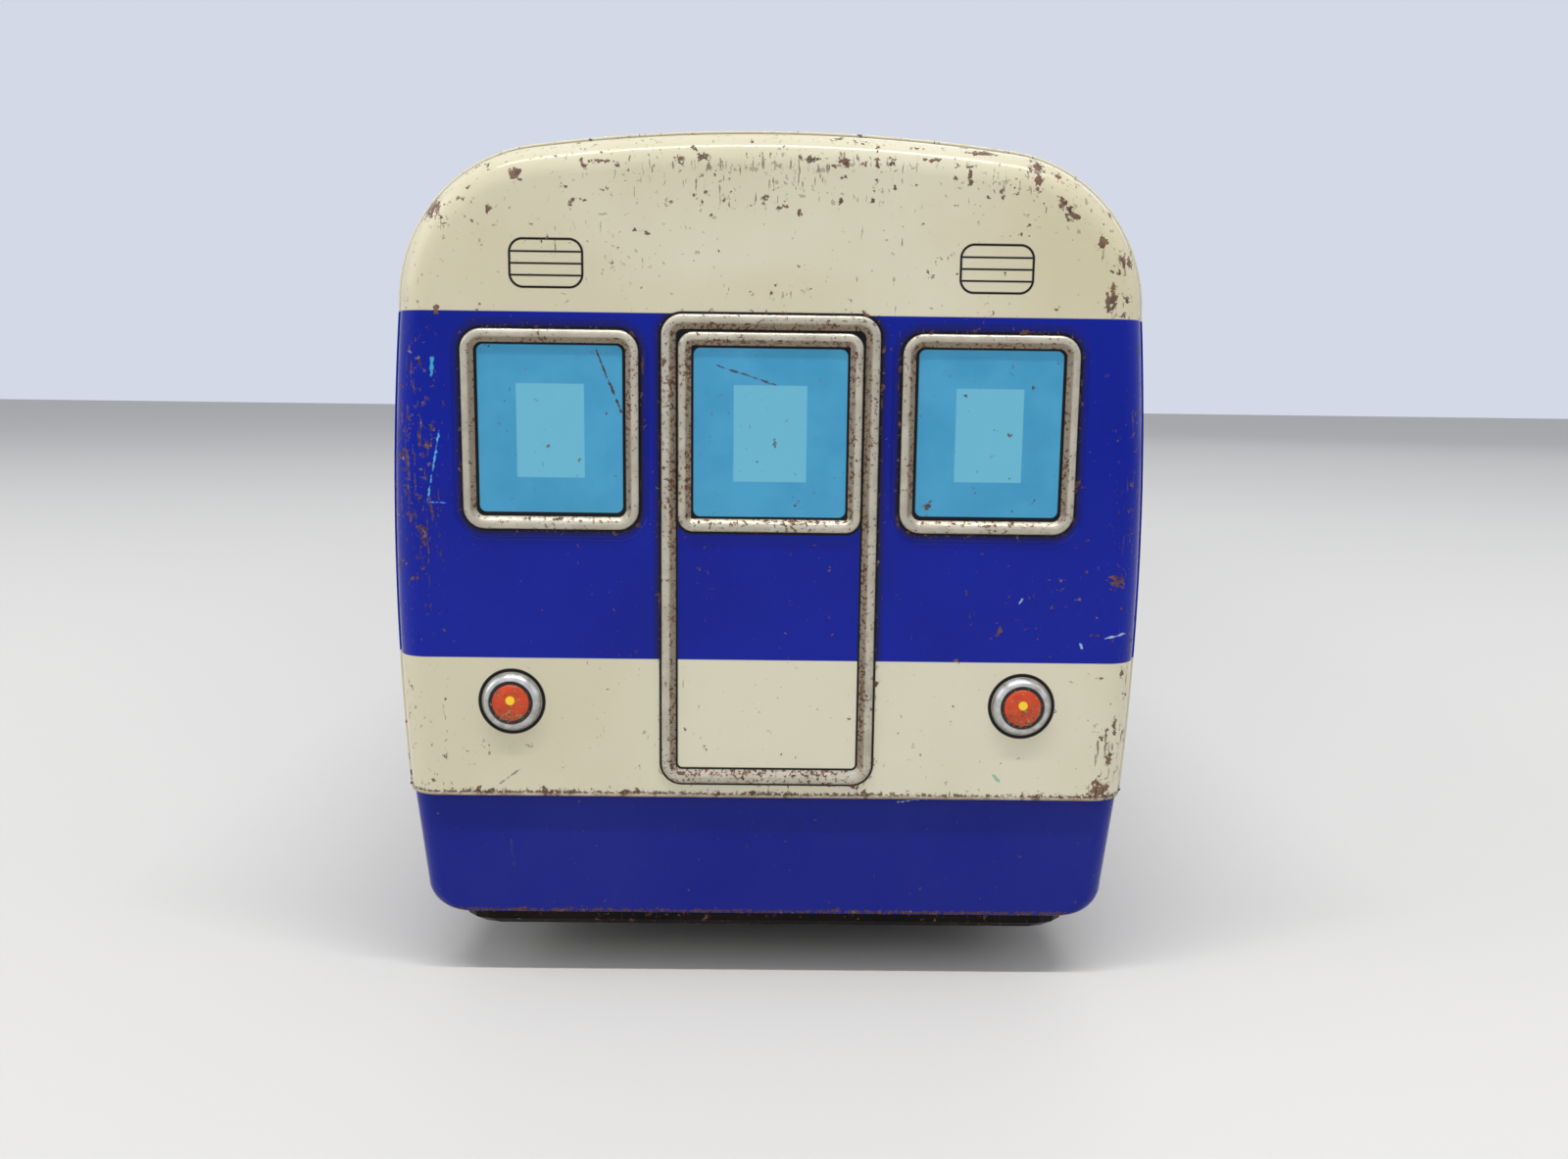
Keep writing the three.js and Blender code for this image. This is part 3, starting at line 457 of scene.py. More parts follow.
enamel = {
    "roughness": 0.15,
    "wornRoughness": 0.62,
    "chipSize": 1.7,
    "chipLevels": (0.7, 0.58),  # of the noise, above which paint is gone: unworn, and fully worn
    "chipStrength": 0.92,
    "streakDrawn": (1.9, 1.9, 0.3),
    "streakLevels": (0.74, 0.575),
    "streakStrength": 0.7,
    "fleckSize": 0.9,
    "fleckLevels": (0.73, 0.62),
    "fleckStrength": 0.42,
    "rustDark": "#432C25",
    "rust": "#745039",
    "tin": "#8F877C",
    "rustSpan": (0.42, 0.6),  # of a noise, from dark rust to light
    "tinSpan": (0.6, 0.66),
    "wornDepth": 0.03,
    "waveSize": 26,
    "waveDepth": 0.05,
    "peelSize": 0.9,  # orange peel, drawn coarser than the real 0.3 mm so that it shows
    "peelDepth": 0.0016,
    "rubbedTurn": (0.99, 0.7),  # how far an edge still faces the rear, where rubbing starts and is full
}


# Where a noise lies above a level that falls with wear
def wornAway(add, noise, wear, kind):
    level = add("MapRange", wear, 0.0, 1.0, *enamel[kind + "Levels"])
    over = add("Math SUBTRACT", noise, level)
    return add("MapRange", over, -0.002, 0.016, 0.0, enamel[kind + "Strength"])


# Baked enamel over tinplate: glossy, with chips, short upright streaks and flecks that show rust and tin
def coatWithEnamel(add, shader, place, colour, wear, relief=0.0):
    drawn = add("VectorMath MULTIPLY", place, enamel["streakDrawn"])
    noises = {
        "chip": add("TexNoise", place, 1 / enamel["chipSize"], 7.0, 0.62),
        "streak": add("TexNoise", drawn, 0.9, 5.0, 0.6),
        "fleck": add("TexNoise", place, 1 / enamel["fleckSize"], 3.0, 0.5),
    }
    worn = [wornAway(add, noise, wear, kind) for kind, noise in noises.items()]
    worn = reduce(partial(add, "Math MAXIMUM"), worn)
    cloud = add("TexNoise", place, 1.3, 4.0, 0.6)
    rust, tin = [add("MapRange", cloud, *enamel[key]) for key in ("rustSpan", "tinSpan")]
    under = add("Mix RGBA", tin, add("Mix RGBA", rust, enamel["rustDark"], enamel["rust"]), enamel["tin"])
    colour = add("Mix RGBA", worn, colour, under)
    handled = add("TexNoise", place, 0.05, 4.0, 0.6)
    gloss = add("MapRange", handled, 0.3, 0.7, enamel["roughness"] - 0.05, enamel["roughness"] + 0.07)
    gloss = add("Mix", worn, gloss, enamel["wornRoughness"])
    wave = add("TexNoise", place, 1 / enamel["waveSize"], 2.0, 0.4)
    peel = add("TexNoise", place, 1 / enamel["peelSize"], 2.0, 0.5)
    height = relief
    for form, key, sign in ((wave, "waveDepth", 1), (peel, "peelDepth", 1), (worn, "wornDepth", -1)):
        height = add("Math MULTIPLY_ADD", form, sign * enamel[key], height)
    linkSurface(shader, height, Base_Color=colour, Roughness=gloss)


# How much a rounded edge of the rear end is rubbed, from how far it has turned off the face
def rubbedEdge(add, place, strength):
    facing = add("SeparateXYZ", add("TexCoord", out=1)).node.outputs[1]
    edge = add("MapRange", add("Math ABSOLUTE", facing), *enamel["rubbedTurn"], 0.0, strength)
    return add("Math MULTIPLY", edge, clouds(add, place, 16, 0.6, 1.1))


# Rust creeps along a folded edge as a broken line
lipRust = {"up": 0.6, "skirtUp": 0.5, "width": 0.3, "size": 0.6, "ragged": 2.0, "colour": "#533A2D"}


def printEdgeRust(add, under, place, z, height):
    line = lineAlong(add, z, lipRust["width"], height)
    ragged = add("TexNoise", place, 1 / lipRust["size"], 5.0, 0.65)
    line = add("Math MULTIPLY_ADD", ragged, lipRust["ragged"], line)
    line = add("Math SUBTRACT", line, lipRust["ragged"] / 2)
    return printOver(add, under, lipRust["colour"], line, 0.85)


# The sheet dips where a ridge is pressed out of it, and rust starts there and by the lip
pressing = {
    "trough": 0.26,
    "troughSpan": (0.9, 1.5),
    "rust": 0.86,
    "reach": 1.2,
    "lipSpan": (1.8, 0.9),
}


# The wear of a printed sheet, whose windows have a dip round them, and its gloss
def wearPrint(add, shader, place, z, colour, look, frames, windows, wear):
    colour = printEdgeRust(add, colour, place, z, lipHeight + lipRust["up"])
    rust = besideFrames(add, frames, pressing["rust"], pressing["reach"])
    lip = add("MapRange", z, *[lipHeight + up for up in pressing["lipSpan"]], 0.0, look["lipWear"])
    wear = reduce(partial(add, "Math MAXIMUM"), [*wear, look["everywhere"], rust, lip])
    dip = add("MapRange", windows, *pressing["troughSpan"], -pressing["trough"], 0.0,
              interpolation_type="SMOOTHSTEP")
    coatWithEnamel(add, shader, place, colour, wear, dip)


# Lithographed tinplate, baked enamel: glossy print in flat inks, worn to rust along the pressed edges
rearPrint = {
    "bandLow": 50.8,
    "bandHigh": 101.35,
    "paneOut": 31.8,
    "ventOut": 32.1,
    "ventHalf": (5.17, 3.35),
    "ventMiddle": 108.1,
    "ventCorner": 1.9,
    "ventSlats": (109.7, 108.05, 106.4),
    "line": 0.36,
    "slatLine": 0.3,
    "lampOut": 38.15,
    "lampHeight": 44.15,
    "lampRing": (5.03, 4.46),
    "patches": [
        (0, 122.2, 52, 3.2, 1.0),
        (-2, 119, 46, 6, 0.74),
        (32, 120.5, 14, 4.5, 0.78),
        (43, 117, 9, 7, 0.76),
        (50, 107, 5, 12, 0.86),
        (-44, 114, 12, 12, 0.56),
        (-51.5, 79, 6, 38, 0.98),
        (52.5, 75, 4, 30, 0.66),
        (52, 36, 6.5, 12, 1.0),
        (-54, 42, 4, 14, 0.6),
        (0, 104.3, 14, 2.6, 0.6),
        (-20, 108, 6, 7, 0.52),
        (50, 31.4, 4.5, 3, 1.0),
        (-50, 31, 5, 2, 0.9),
        (20, 104, 34, 20, 0.3),
        (-24, 112, 22, 10, 0.4),
        (-46, 41, 12, 11, 0.36),
        (40, 60, 18, 12, 0.34),
    ],
    "aged": [(-46, 112, 20, 22, 0.25), (46, 112, 26, 24, 0.55), (0, 104, 24, 5, 0.3)],
    "everywhere": 0.12,
    "lipWear": 0.9,
    "rubbed": 0.6,
    "scratches": [
        ((-25.1, 96.0), (-21.5, 87.3), 0.22, "#4A3527"),
        ((-7.8, 94.1), (0.7, 91.4), 0.16, "#47505A"),
        ((-40.2, 31.4), (-37.2, 33.6), 0.12, "#8B8575"),
        ((-47.9, 84.2), (-49.9, 73.9), 0.13, "#5AA5D8"),
        ((-49.9, 73.9), (-46.8, 73.8), 0.1, "#5A84C8"),
        ((-48.6, 94.6), (-48.8, 92.1), 0.4, "#3E9CC4"),
        ((50.3, 54.7), (53.2, 55.3), 0.2, "#9FB2C8"),
        ((46.6, 53.8), (46.9, 53.2), 0.35, "#8FB0C4"),
        ((37.6, 60.4), (37.2, 59.8), 0.16, "#9FB2C8"),
        ((34.4, 33.4), (35.2, 32.6), 0.4, "#8DB392"),
    ],
    "chips": [
        (27.8, 120.6, 0.6, 1.2), (37.5, 120.1, 0.65, 1.6), (47.1, 112.0, 0.85, 1.15),
        (41.0, 117.2, 0.7, 1.1), (50.3, 109.6, 0.65, 0.95), (48.2, 104.0, 0.55, 1.5),
        (5.5, 122.8, 1.2, 0.55), (-24.5, 122.2, 1.8, 0.35), (-36.2, 120.3, 1.23, 0.88),
        (-40.2, 115.5, 0.5, 0.9), (-12.9, 122.5, 0.4, 0.8), (-9.8, 122.9, 1.2, 0.55),
        (-47.8, 101.5, 0.5, 0.75), (-48.8, 115.9, 2.1, 2.3), (51.5, 63.2, 1.4, 1.15),
        (34.4, 55.4, 0.55, 0.75), (23.0, 74.1, 0.9, 1.0), (9.9, 122.5, 0.85, 0.5), (22.4, 123.0, 1.5, 0.3),
        (29.4, 124.3, 2.38, 0.43), (37.4, 122.4, 1.3, 1.55), (40.6, 121.2, 0.75, 0.75),
        (42.4, 115.7, 0.95, 0.75), (51.2, 109.3, 0.6, 0.85), (48.9, 104.3, 0.6, 2.05),
        (50.0, 31.5, 0.85, 1.75), (51.3, 31.1, 1.2, 0.95), (51.9, 36.0, 0.65, 1.0), (52.5, 41.2, 0.5, 1.45),
        (54.0, 46.0, 0.5, 0.7), (53.2, 49.4, 0.45, 1.1),
    ],
    "chipsEdge": 0.75,  # of a chip's oval
    "chipsRagged": 4.2,
}


def makeRearPrint():
    material, add, shader = startMaterial("lithographed tinplate, rear end", IOR=inks["ior"])
    place, x, y, z = placeInMm(add)
    out = add("Math ABSOLUTE", x)
    fromPane, fromVent, fromLamp = [
        add("Math SUBTRACT", out, rearPrint[key]) for key in ("paneOut", "ventOut", "lampOut")
    ]
    door = fromFrame(add, x, z, doorFrame)
    window = fromFrame(add, fromPane, z, windowPane)
    frames = add("Math MINIMUM", door, window)
    colour = unevenInk(add, place, inks["cream"], inks["creamAged"], inks["creamCloud"])
    aged = wearPatches(add, x, z, rearPrint["aged"])
    colour = add("Mix RGBA", aged, colour, inks["creamYellowed"])
    band = bandShape(add, z, rearPrint["bandLow"], rearPrint["bandHigh"])
    colour = printBlue(add, colour, place, band, frames)
    # vents: an outline with three slats
    vent = roundedShape(add, fromVent, z, *[rearPrint[key] for key in ("ventHalf", "ventMiddle", "ventCorner")])
    lines = [lineAlong(add, vent, rearPrint["line"])]
    for slat in rearPrint["ventSlats"]:
        lines.append(add("Math MAXIMUM", lineAlong(add, z, rearPrint["slatLine"], slat), vent))
    colour = printOver(add, colour, inks["black"], reduce(partial(add, "Math MINIMUM"), lines))
    colour = printDoor(add, colour, z, door)
    colour = printPane(add, colour, place, fromPane, z, windowPane, window)
    colour = printPane(add, colour, place, x, z, doorPane, fromFrame(add, x, z, doorPane))
    outer, inner = rearPrint["lampRing"]
    middle = (outer + inner) / 2
    lamp = roundedShape(add, fromLamp, z, (middle, middle), rearPrint["lampHeight"], middle)
    colour = printOver(add, colour, inks["black"], lineAlong(add, lamp, outer - inner))
    colour = printScratches(add, colour, place, x, z, rearPrint["scratches"])
    chips = chipShape(add, place, x, z, *[rearPrint[key] for key in ("chips", "chipsEdge", "chipsRagged")])
    rust = unevenInk(add, place, enamel["rustDark"], enamel["rust"], 1.2)
    colour = printOver(add, colour, rust, chips, 0.9)
    wear = [wearPatches(add, x, z, rearPrint["patches"]), rubbedEdge(add, place, rearPrint["rubbed"])]
    wearPrint(add, shader, place, z, colour, rearPrint, frames, window, wear)
    return material


# The same print on the sides and the roof, with a row of windows between two doors
sidePrint = {
    "windows": 7,
    "doorMargin": 5,
    "doorHalf": 15.9,
    "everywhere": 0.16,
    "lipWear": 0.85,
    "endWear": 0.55,
    "endReach": 6,
    "roofWear": 0.4,
    "roofSpan": (16, 2),  # below the top of the roof
}
rowMiddle = (sideRear + sideFront) / 2
rowHalf = (sideFront - sideRear) / 2
doorOut = rowHalf - sidePrint["doorMargin"] - sidePrint["doorHalf"]
windowPitch = 2 * doorOut / (sidePrint["windows"] + 1)


def makeSidePrint():
    material, add, shader = startMaterial("lithographed tinplate, sides and roof", IOR=inks["ior"])
    place, x, y, z = placeInMm(add)
    along = add("Math SUBTRACT", y, rowMiddle)
    out = add("Math ABSOLUTE", along)
    fromDoor = add("Math SUBTRACT", out, doorOut)
    # the windows repeat at one pitch, and those past the doors are pushed out of sight
    inPitch = add("Math FLOORED_MODULO", add("Math ADD", along, windowPitch / 2), windowPitch)
    inPitch = add("Math SUBTRACT", inPitch, windowPitch / 2)
    past = add("Math GREATER_THAN", out, windowPitch * sidePrint["windows"] / 2)
    inPitch = add("Math MULTIPLY_ADD", past, 1000.0, inPitch)
    door = fromFrame(add, fromDoor, z, doorFrame)
    window = fromFrame(add, inPitch, z, sidePane)
    frames = add("Math MINIMUM", door, window)
    colour = unevenInk(add, place, inks["cream"], inks["creamAged"], inks["creamCloud"])
    band = bandShape(add, z, rearPrint["bandLow"], rearPrint["bandHigh"])
    colour = printBlue(add, colour, place, band, frames)
    colour = printDoor(add, colour, z, door)
    colour = printPane(add, colour, place, fromDoor, z, doorPane, fromFrame(add, fromDoor, z, doorPane))
    colour = printPane(add, colour, place, inPitch, z, sidePane, window)
    ends = add("MapRange", out, rowHalf - sidePrint["endReach"], rowHalf, 0.0, sidePrint["endWear"])
    roofSpan = [body["roofHeight"] - down for down in sidePrint["roofSpan"]]
    roof = add("MapRange", z, *roofSpan, 0.0, sidePrint["roofWear"])
    patchy = add("MapRange", add("TexNoise", place, 1 / 50, 2.0, 0.5), 0.35, 0.65, 0.7, 1.15)
    wear = [ends, add("Math MULTIPLY", roof, patchy)]
    wearPrint(add, shader, place, z, colour, sidePrint, frames, window, wear)
    return material


# The same print on the nose, where the blue band rises round the windscreens and dips round the headlights
nosePrint = {
    "screenOut": 22,
    "bandDrop": 13,
    "dropSpan": (30, 78),  # ahead of the nose's root
    "hoodHalf": (17, 13),
    "hoodMiddle": 76,
    "hoodCorner": 9,
    "browHeight": 111.5,
    "browSpan": (46, 38),
    "everywhere": 0.16,
    "lipWear": 0.85,
    "tipWear": 0.5,
    "tipSpan": (70, 104),
}


def makeNosePrint():
    material, add, shader = startMaterial("lithographed tinplate, nose", IOR=inks["ior"])
    place, x, y, z = placeInMm(add)
    out = add("Math ABSOLUTE", x)
    dropSpan, tipSpan = [[noseRoot + ahead for ahead in nosePrint[key]] for key in ("dropSpan", "tipSpan")]
    drop = add("MapRange", y, *dropSpan, 0.0, nosePrint["bandDrop"], interpolation_type="SMOOTHERSTEP")
    rise = nosePrint["browHeight"] - rearPrint["bandHigh"]
    rise = add("MapRange", out, *nosePrint["browSpan"], 0.0, rise, interpolation_type="SMOOTHERSTEP")
    low = add("Math SUBTRACT", rearPrint["bandLow"], drop)
    high = add("Math ADD", rearPrint["bandHigh"], rise)
    hood = roundedShape(add, out, z, *[nosePrint[key] for key in ("hoodHalf", "hoodMiddle", "hoodCorner")])
    band = add("Math MAXIMUM", bandShape(add, z, low, high), add("Math MULTIPLY", hood, -1.0))
    fromScreen = add("Math SUBTRACT", out, nosePrint["screenOut"])
    screen = fromFrame(add, fromScreen, z, screenPane)
    colour = unevenInk(add, place, inks["cream"], inks["creamAged"], inks["creamCloud"])
    colour = printBlue(add, colour, place, band, screen)
    colour = printPane(add, colour, place, fromScreen, z, screenPane, screen)
    tip = add("MapRange", y, *tipSpan, 0.0, nosePrint["tipWear"])
    wearPrint(add, shader, place, z, colour, nosePrint, screen, screen, [tip])
    return material


# Blue baked enamel on the pressed skirt: glossy, rusty along its lower edge
skirtFloor = 10.35
skirtPaint = {
    "blue": "#07167C",
    "blueWorn": "#141F80",
    "cloud": 30,
    "everywhere": 0.14,
    "rubbed": 0.34,
    "edgeSpan": (1.3, 0.5),  # above the skirt's floor
    "scratches": [((20, 28.6), (30, 30.2), 0.14, "#8C93B4"), ((-39, 22), (-38.6, 18), 0.12, "#33366C")],
}


def makeSkirtPaint():
    material, add, shader = startMaterial("blue baked enamel", IOR=inks["ior"])
    place, x, y, z = placeInMm(add)
    colour = unevenInk(add, place, skirtPaint["blue"], skirtPaint["blueWorn"], skirtPaint["cloud"])
    ahead = add("MapRange", y, rearFace + 4, rearFace + 8, 0.0, 100.0)  # keeps the scratches to the rear
    colour = printScratches(add, colour, place, x, z, skirtPaint["scratches"], ahead)
    colour = printEdgeRust(add, colour, place, z, skirtFloor + lipRust["skirtUp"])
    edgeSpan = [skirtFloor + up for up in skirtPaint["edgeSpan"]]
    edge = add("MapRange", z, *edgeSpan, skirtPaint["everywhere"], 1.0)
    wear = add("Math MAXIMUM", edge, rubbedEdge(add, place, skirtPaint["rubbed"]))
    coatWithEnamel(add, shader, place, colour, wear)
    return material


# Baked enamels of one colour. Black on the base pan: dull, dusty and rubbed, so that it hardly mirrors the
# floor. Cream on the round cover of the nose: glossy as the print is.
panPaint = {"tones": ("#0D0A0A", "#1C1413"), "cloud": 12, "patches": 40, "wear": (0.4, 0.7), "ior": 1.15}
coverPaint = {"tones": (inks["cream"], inks["creamAged"]), "cloud": 20, "patches": 10, "wear": (0.2, 0.4),
              "ior": inks["ior"]}


def makePlainPaint(name, paint):
    material, add, shader = startMaterial(name, IOR=paint["ior"])
    place = placeInMm(add)[0]
    patches = add("TexNoise", place, 1 / paint["patches"], 2.0, 0.5)
    wear = add("MapRange", patches, 0.3, 0.7, *paint["wear"])
    coatWithEnamel(add, shader, place, unevenInk(add, place, *paint["tones"], paint["cloud"]), wear)
    return material


# Cream enamel worn thin on the rolled lip, with rust in its crease
lipPaint = {"tones": ("#9F927E", "#87765F"), "cloud": 4, "wearUp": (0.2, 0.4), "wear": (0.7, 1.0), "ior": 1.5}


def makeLipPaint():
    material, add, shader = startMaterial("worn cream enamel on a rolled lip", IOR=lipPaint["ior"])
    place, x, y, z = placeInMm(add)
    wear = add("MapRange", z, *[lipHeight + up for up in lipPaint["wearUp"]], *lipPaint["wear"])
    coatWithEnamel(add, shader, place, unevenInk(add, place, *lipPaint["tones"], lipPaint["cloud"]), wear)
    return material


# Silver printed on the pressed ridges: a dull metallic ink, stained with rust where the ink is thin, its inner
# slopes darkened with dirt and painted shade, less where they face up
silverInk = {
    "metallic": 0.7,
    "silver": "#C2BCAA",
    "shade": "#B0A997",
    # the colour of the dirt and painted shade on the inner slopes of the ridges
    "dirtAndShade": "#7F705D",
    "rust": "#744A35",
    "rustDark": "#4A3026",
    "line": "#14130F",
    "slope": (0.5, 0.64),  # of the ridge's width, where its inner slope begins
    "slopeDirtAndShade": 0.8,
    "ledgeFacing": (0.05, 0.3),
    "ledgeDirtAndShade": 0.3,  # of that, on a slope that faces up
    "grainSize": 0.6,
    "rustFrom": 0.61,
    "slopeRust": 0.06,  # how much sooner the inner slope rusts
    "doorRust": 0.03,
    "doorTo": 16.4,
    "lineShare": 0.055,  # of the ridge's width, inked black on both edges
    "roughness": (0.36, 0.72),  # clean, and rusted
}


def makeSilverInk():
    material, add, shader = startMaterial("silver ink on tinplate", Metallic=silverInk["metallic"])
    place, x, y, z = placeInMm(add)
    across = add("Attribute", attribute_name="across", out=2)
    slope = add("MapRange", across, *silverInk["slope"])
    # painted shade with dirt: the inner slope is darkened, and less so where it faces up to the light
    facingUp = add("SeparateXYZ", add("TexCoord", out=1)).node.outputs[2]
    most = silverInk["slopeDirtAndShade"]
    dirtAndShade = add("MapRange", facingUp, *silverInk["ledgeFacing"], most, most * silverInk["ledgeDirtAndShade"])
    silver = unevenInk(add, place, silverInk["silver"], silverInk["shade"], 3)
    silver = add("Mix RGBA", add("Math MULTIPLY", slope, dirtAndShade), silver, silverInk["dirtAndShade"])
    cloud = add("TexNoise", place, 1 / silverInk["grainSize"], 7.0, 0.72)
    cloud = add("Math ADD", cloud, clouds(add, place, 12, -0.04, 0.04))
    byDoor = add("Math LESS_THAN", add("Math ABSOLUTE", x), silverInk["doorTo"])
    for where, sooner in ((slope, silverInk["slopeRust"]), (byDoor, silverInk["doorRust"])):
        cloud = add("Math MULTIPLY_ADD", where, sooner, cloud)
    stain = add("MapRange", cloud, silverInk["rustFrom"] - 0.01, silverInk["rustFrom"] + 0.03, 0.0, 0.9)
    rust = unevenInk(add, place, silverInk["rust"], silverInk["rustDark"], 1.1)
    colour = add("Mix RGBA", stain, silver, rust)
    edge = add("Math ABSOLUTE", add("Math SUBTRACT", across, 0.5))
    lineFrom = 0.5 - silverInk["lineShare"]
    line = add("MapRange", edge, lineFrom - 0.02, lineFrom + 0.02)
    colour = add("Mix RGBA", line, colour, silverInk["line"])
    gloss = add("MapRange", stain, 0.0, 1.0, *silverInk["roughness"])
    linkSurface(shader, cloud, 0.05, Base_Color=colour, Roughness=gloss)
    return material


# Printed and pressed tail lamp: silver ring, black line and a red lens with a worn yellow dot
lampPrint = {
    "ior": 1.45,
    "silver": "#C6C8C9",
    "silverWorn": "#A6A39C",
    "red": "#CB4010",
    "redDeep": "#B6370D",
    "yellow": "#F0C91F",
    "black": "#121112",
    "chipped": "#3D2A1E",
    "primer": "#A98055",
    "chipLevels": (0.59, 0.565),
    "lensRadius": 2.75,
    "lineRadius": 3.27,
    "dotRadius": 0.67,
    "dotUp": 0.44,
}


def makeLampPrint():
    material, add, shader = startMaterial("printed tail lamp", IOR=lampPrint["ior"])
    place, x, y, z = placeInMm(add)
    spot = add("CombineXYZ", add("Math ABSOLUTE", x), z)
    out, up = rearPrint["lampOut"], rearPrint["lampHeight"]
    radius = fromOval(add, spot, out, up, 1, 1)
    inLine, inLens = [add("Math SUBTRACT", radius, lampPrint[key]) for key in ("lineRadius", "lensRadius")]
    dot = fromOval(add, spot, out, up + lampPrint["dotUp"], 1, 1)
    dot = add("Math SUBTRACT", dot, lampPrint["dotRadius"])
    lower = add("MapRange", z, up + 1.5, up - 2.5, -0.02, 0.05)
    chips = add("Math ADD", add("TexNoise", place, 1.7, 5.0, 0.7), lower)
    chips = add("Math MAXIMUM", add("MapRange", chips, *lampPrint["chipLevels"]), inLens)
    colour = unevenInk(add, place, lampPrint["silver"], lampPrint["silverWorn"], 1.5)
    red = unevenInk(add, place, lampPrint["red"], lampPrint["redDeep"], 2)
    bare = unevenInk(add, place, lampPrint["primer"], lampPrint["chipped"], 0.4)
    inChips = add("Math SUBTRACT", chips, 0.3)
    black, yellow = lampPrint["black"], lampPrint["yellow"]
    for ink, shape in ((black, inLine), (red, inLens), (bare, inChips), (yellow, dot)):
        colour = printOver(add, colour, ink, shape)
    metal = add("MapRange", inLine, -0.05, 0.05, 0.0, 0.6)
    gloss = add("MapRange", chips, -0.1, 0.1, 0.26, 0.3)
    linkSurface(shader, Base_Color=colour, Metallic=metal, Roughness=gloss)
    return material


# Metals and the rest: (name, two tones, metallic, roughness, grain size in mm, bump depth in mm)
plainFinishes = {
    "bareTin": ("tin plate, unpainted", "#8E8B86", "#6E5A4C", 0.85, 0.42, 1.8, 0.004),
    "steel": ("bright drawn steel", "#B2B0AB", "#8F8B84", 1.0, 0.3, 2.5, 0.003),
    "plate": ("stamped steel plate", "#A19F9A", "#7E776E", 1.0, 0.42, 6, 0.006),
    "brass": ("stamped brass", "#C9A357", "#A07C3B", 1.0, 0.3, 2, 0.004),
    "zinc": ("cast zinc", "#8D9093", "#74777A", 1.0, 0.5, 1.2, 0.012),
    "rubber": ("moulded black rubber", "#1F1E1E", "#2C2A29", 0.0, 0.78, 0.8, 0.02),
    "plated": ("nickel plate", "#D8D6D0", "#BDB9B0", 1.0, 0.16, 3, 0.002),
    "reflector": ("vacuum-plated reflector", "#E3E2DE", "#D2D0CA", 1.0, 0.12, 4, 0.001),
}


# Tone, gloss and relief drift with the grain of the surface: dull and bright patches, as handled metal has
def makeFinish(key):
    name, first, second, metallic, roughness, grain, depth = plainFinishes[key]
    material, add, shader = startMaterial(name, Metallic=metallic)
    place = placeInMm(add)[0]
    tone = unevenInk(add, place, first, second, grain * 3)
    cloud = add("TexNoise", place, 1 / grain, 5.0, 0.6)
    gloss = add("MapRange", cloud, 0.3, 0.7, roughness * 0.8, min(roughness * 1.25, 1))
    linkSurface(shader, cloud, depth, Base_Color=tone, Roughness=gloss)
    return material


# Clear moulded styrene: a glassy lens with faint flow marks
lensLook = {"tones": ("#F2F0E6", "#E9E6D8"), "roughness": 0.05, "ior": 1.59, "flowDepth": 0.02}


def makeLensMaterial():
    material, add, shader = startMaterial(
        "clear moulded styrene", IOR=lensLook["ior"], Transmission_Weight=1.0, Roughness=lensLook["roughness"]
    )
    place = placeInMm(add)[0]
    flow = add("TexNoise", place, 0.4, 2.0, 0.4)
    tone = unevenInk(add, place, *lensLook["tones"], 5)
    linkSurface(shader, flow, lensLook["flowDepth"], Base_Color=tone)
    return material


rearTin = makeRearPrint()
sideTin = makeSidePrint()
noseTin = makeNosePrint()
skirtBlue = makeSkirtPaint()
panBlack = makePlainPaint("black baked enamel", panPaint)
coverTin = makePlainPaint("cream baked enamel", coverPaint)
lipTin = makeLipPaint()
silver = makeSilverInk()
lampTin = makeLampPrint()
lensClear = makeLensMaterial()
finishes = {key: makeFinish(key) for key in plainFinishes}
bareTin = finishes["bareTin"]
print("materials made:", len(bpy.data.materials))

# Rear end: a pressed cap with a rounded edge
rearEnd = {"acrossSteps": 24, "roundSteps": 12}


def rearEndLoop(turn):
    radius = body["rearRadius"]
    return sectionAt(rearFace + radius * (1 - math.cos(turn)), joggle + radius * (1 - math.sin(turn)))


def makeRearEnd():
    edge = rearEndLoop(0)
    right = edge[: len(edge) // 2 + 1]
    share = np.linspace(1, -1, rearEnd["acrossSteps"] + 1)
    face = np.array([[(x * s, y, z) for s in share] for x, y, z in right])
    turns = np.linspace(0, math.pi / 2, rearEnd["roundSteps"] + 1)
    around = [rearEndLoop(t) for t in turns] + [sectionAt(sideRear + body["flange"], joggle)]
    makePiece("rear_end", [(face, False), (np.array(around), False)], [rearTin, bareTin], "cream_enamel",
              ["rear_cap"], inside=(0, rearFace + 60, 70), wall=body["sheet"])
    out = rearPrint["paneOut"]
    panes = [(windowPane, -out), (windowPane, out), (doorPane, 0), (doorFrame, 0)]
    ridges = [ridgeGrid(pane, onRear(x, pane["middle"])) for pane, x in panes]
    makePiece("rear_frames", ridges, [silver], "cream_enamel")


# Tail lamps: a stepped silver ring round a low red dome
tailLamp = {
    "ring": [(4.42, 0.05), (4.3, 0.4), (4.1, 0.75), (3.85, 1.0), (3.6, 1.15), (3.34, 1.15)],
    "groove": 0.18,
    "grooveFrom": 3.24,
    "lensRise": 0.34,
    "lensSunk": 0.03,
    "sunk": 0.2,
}


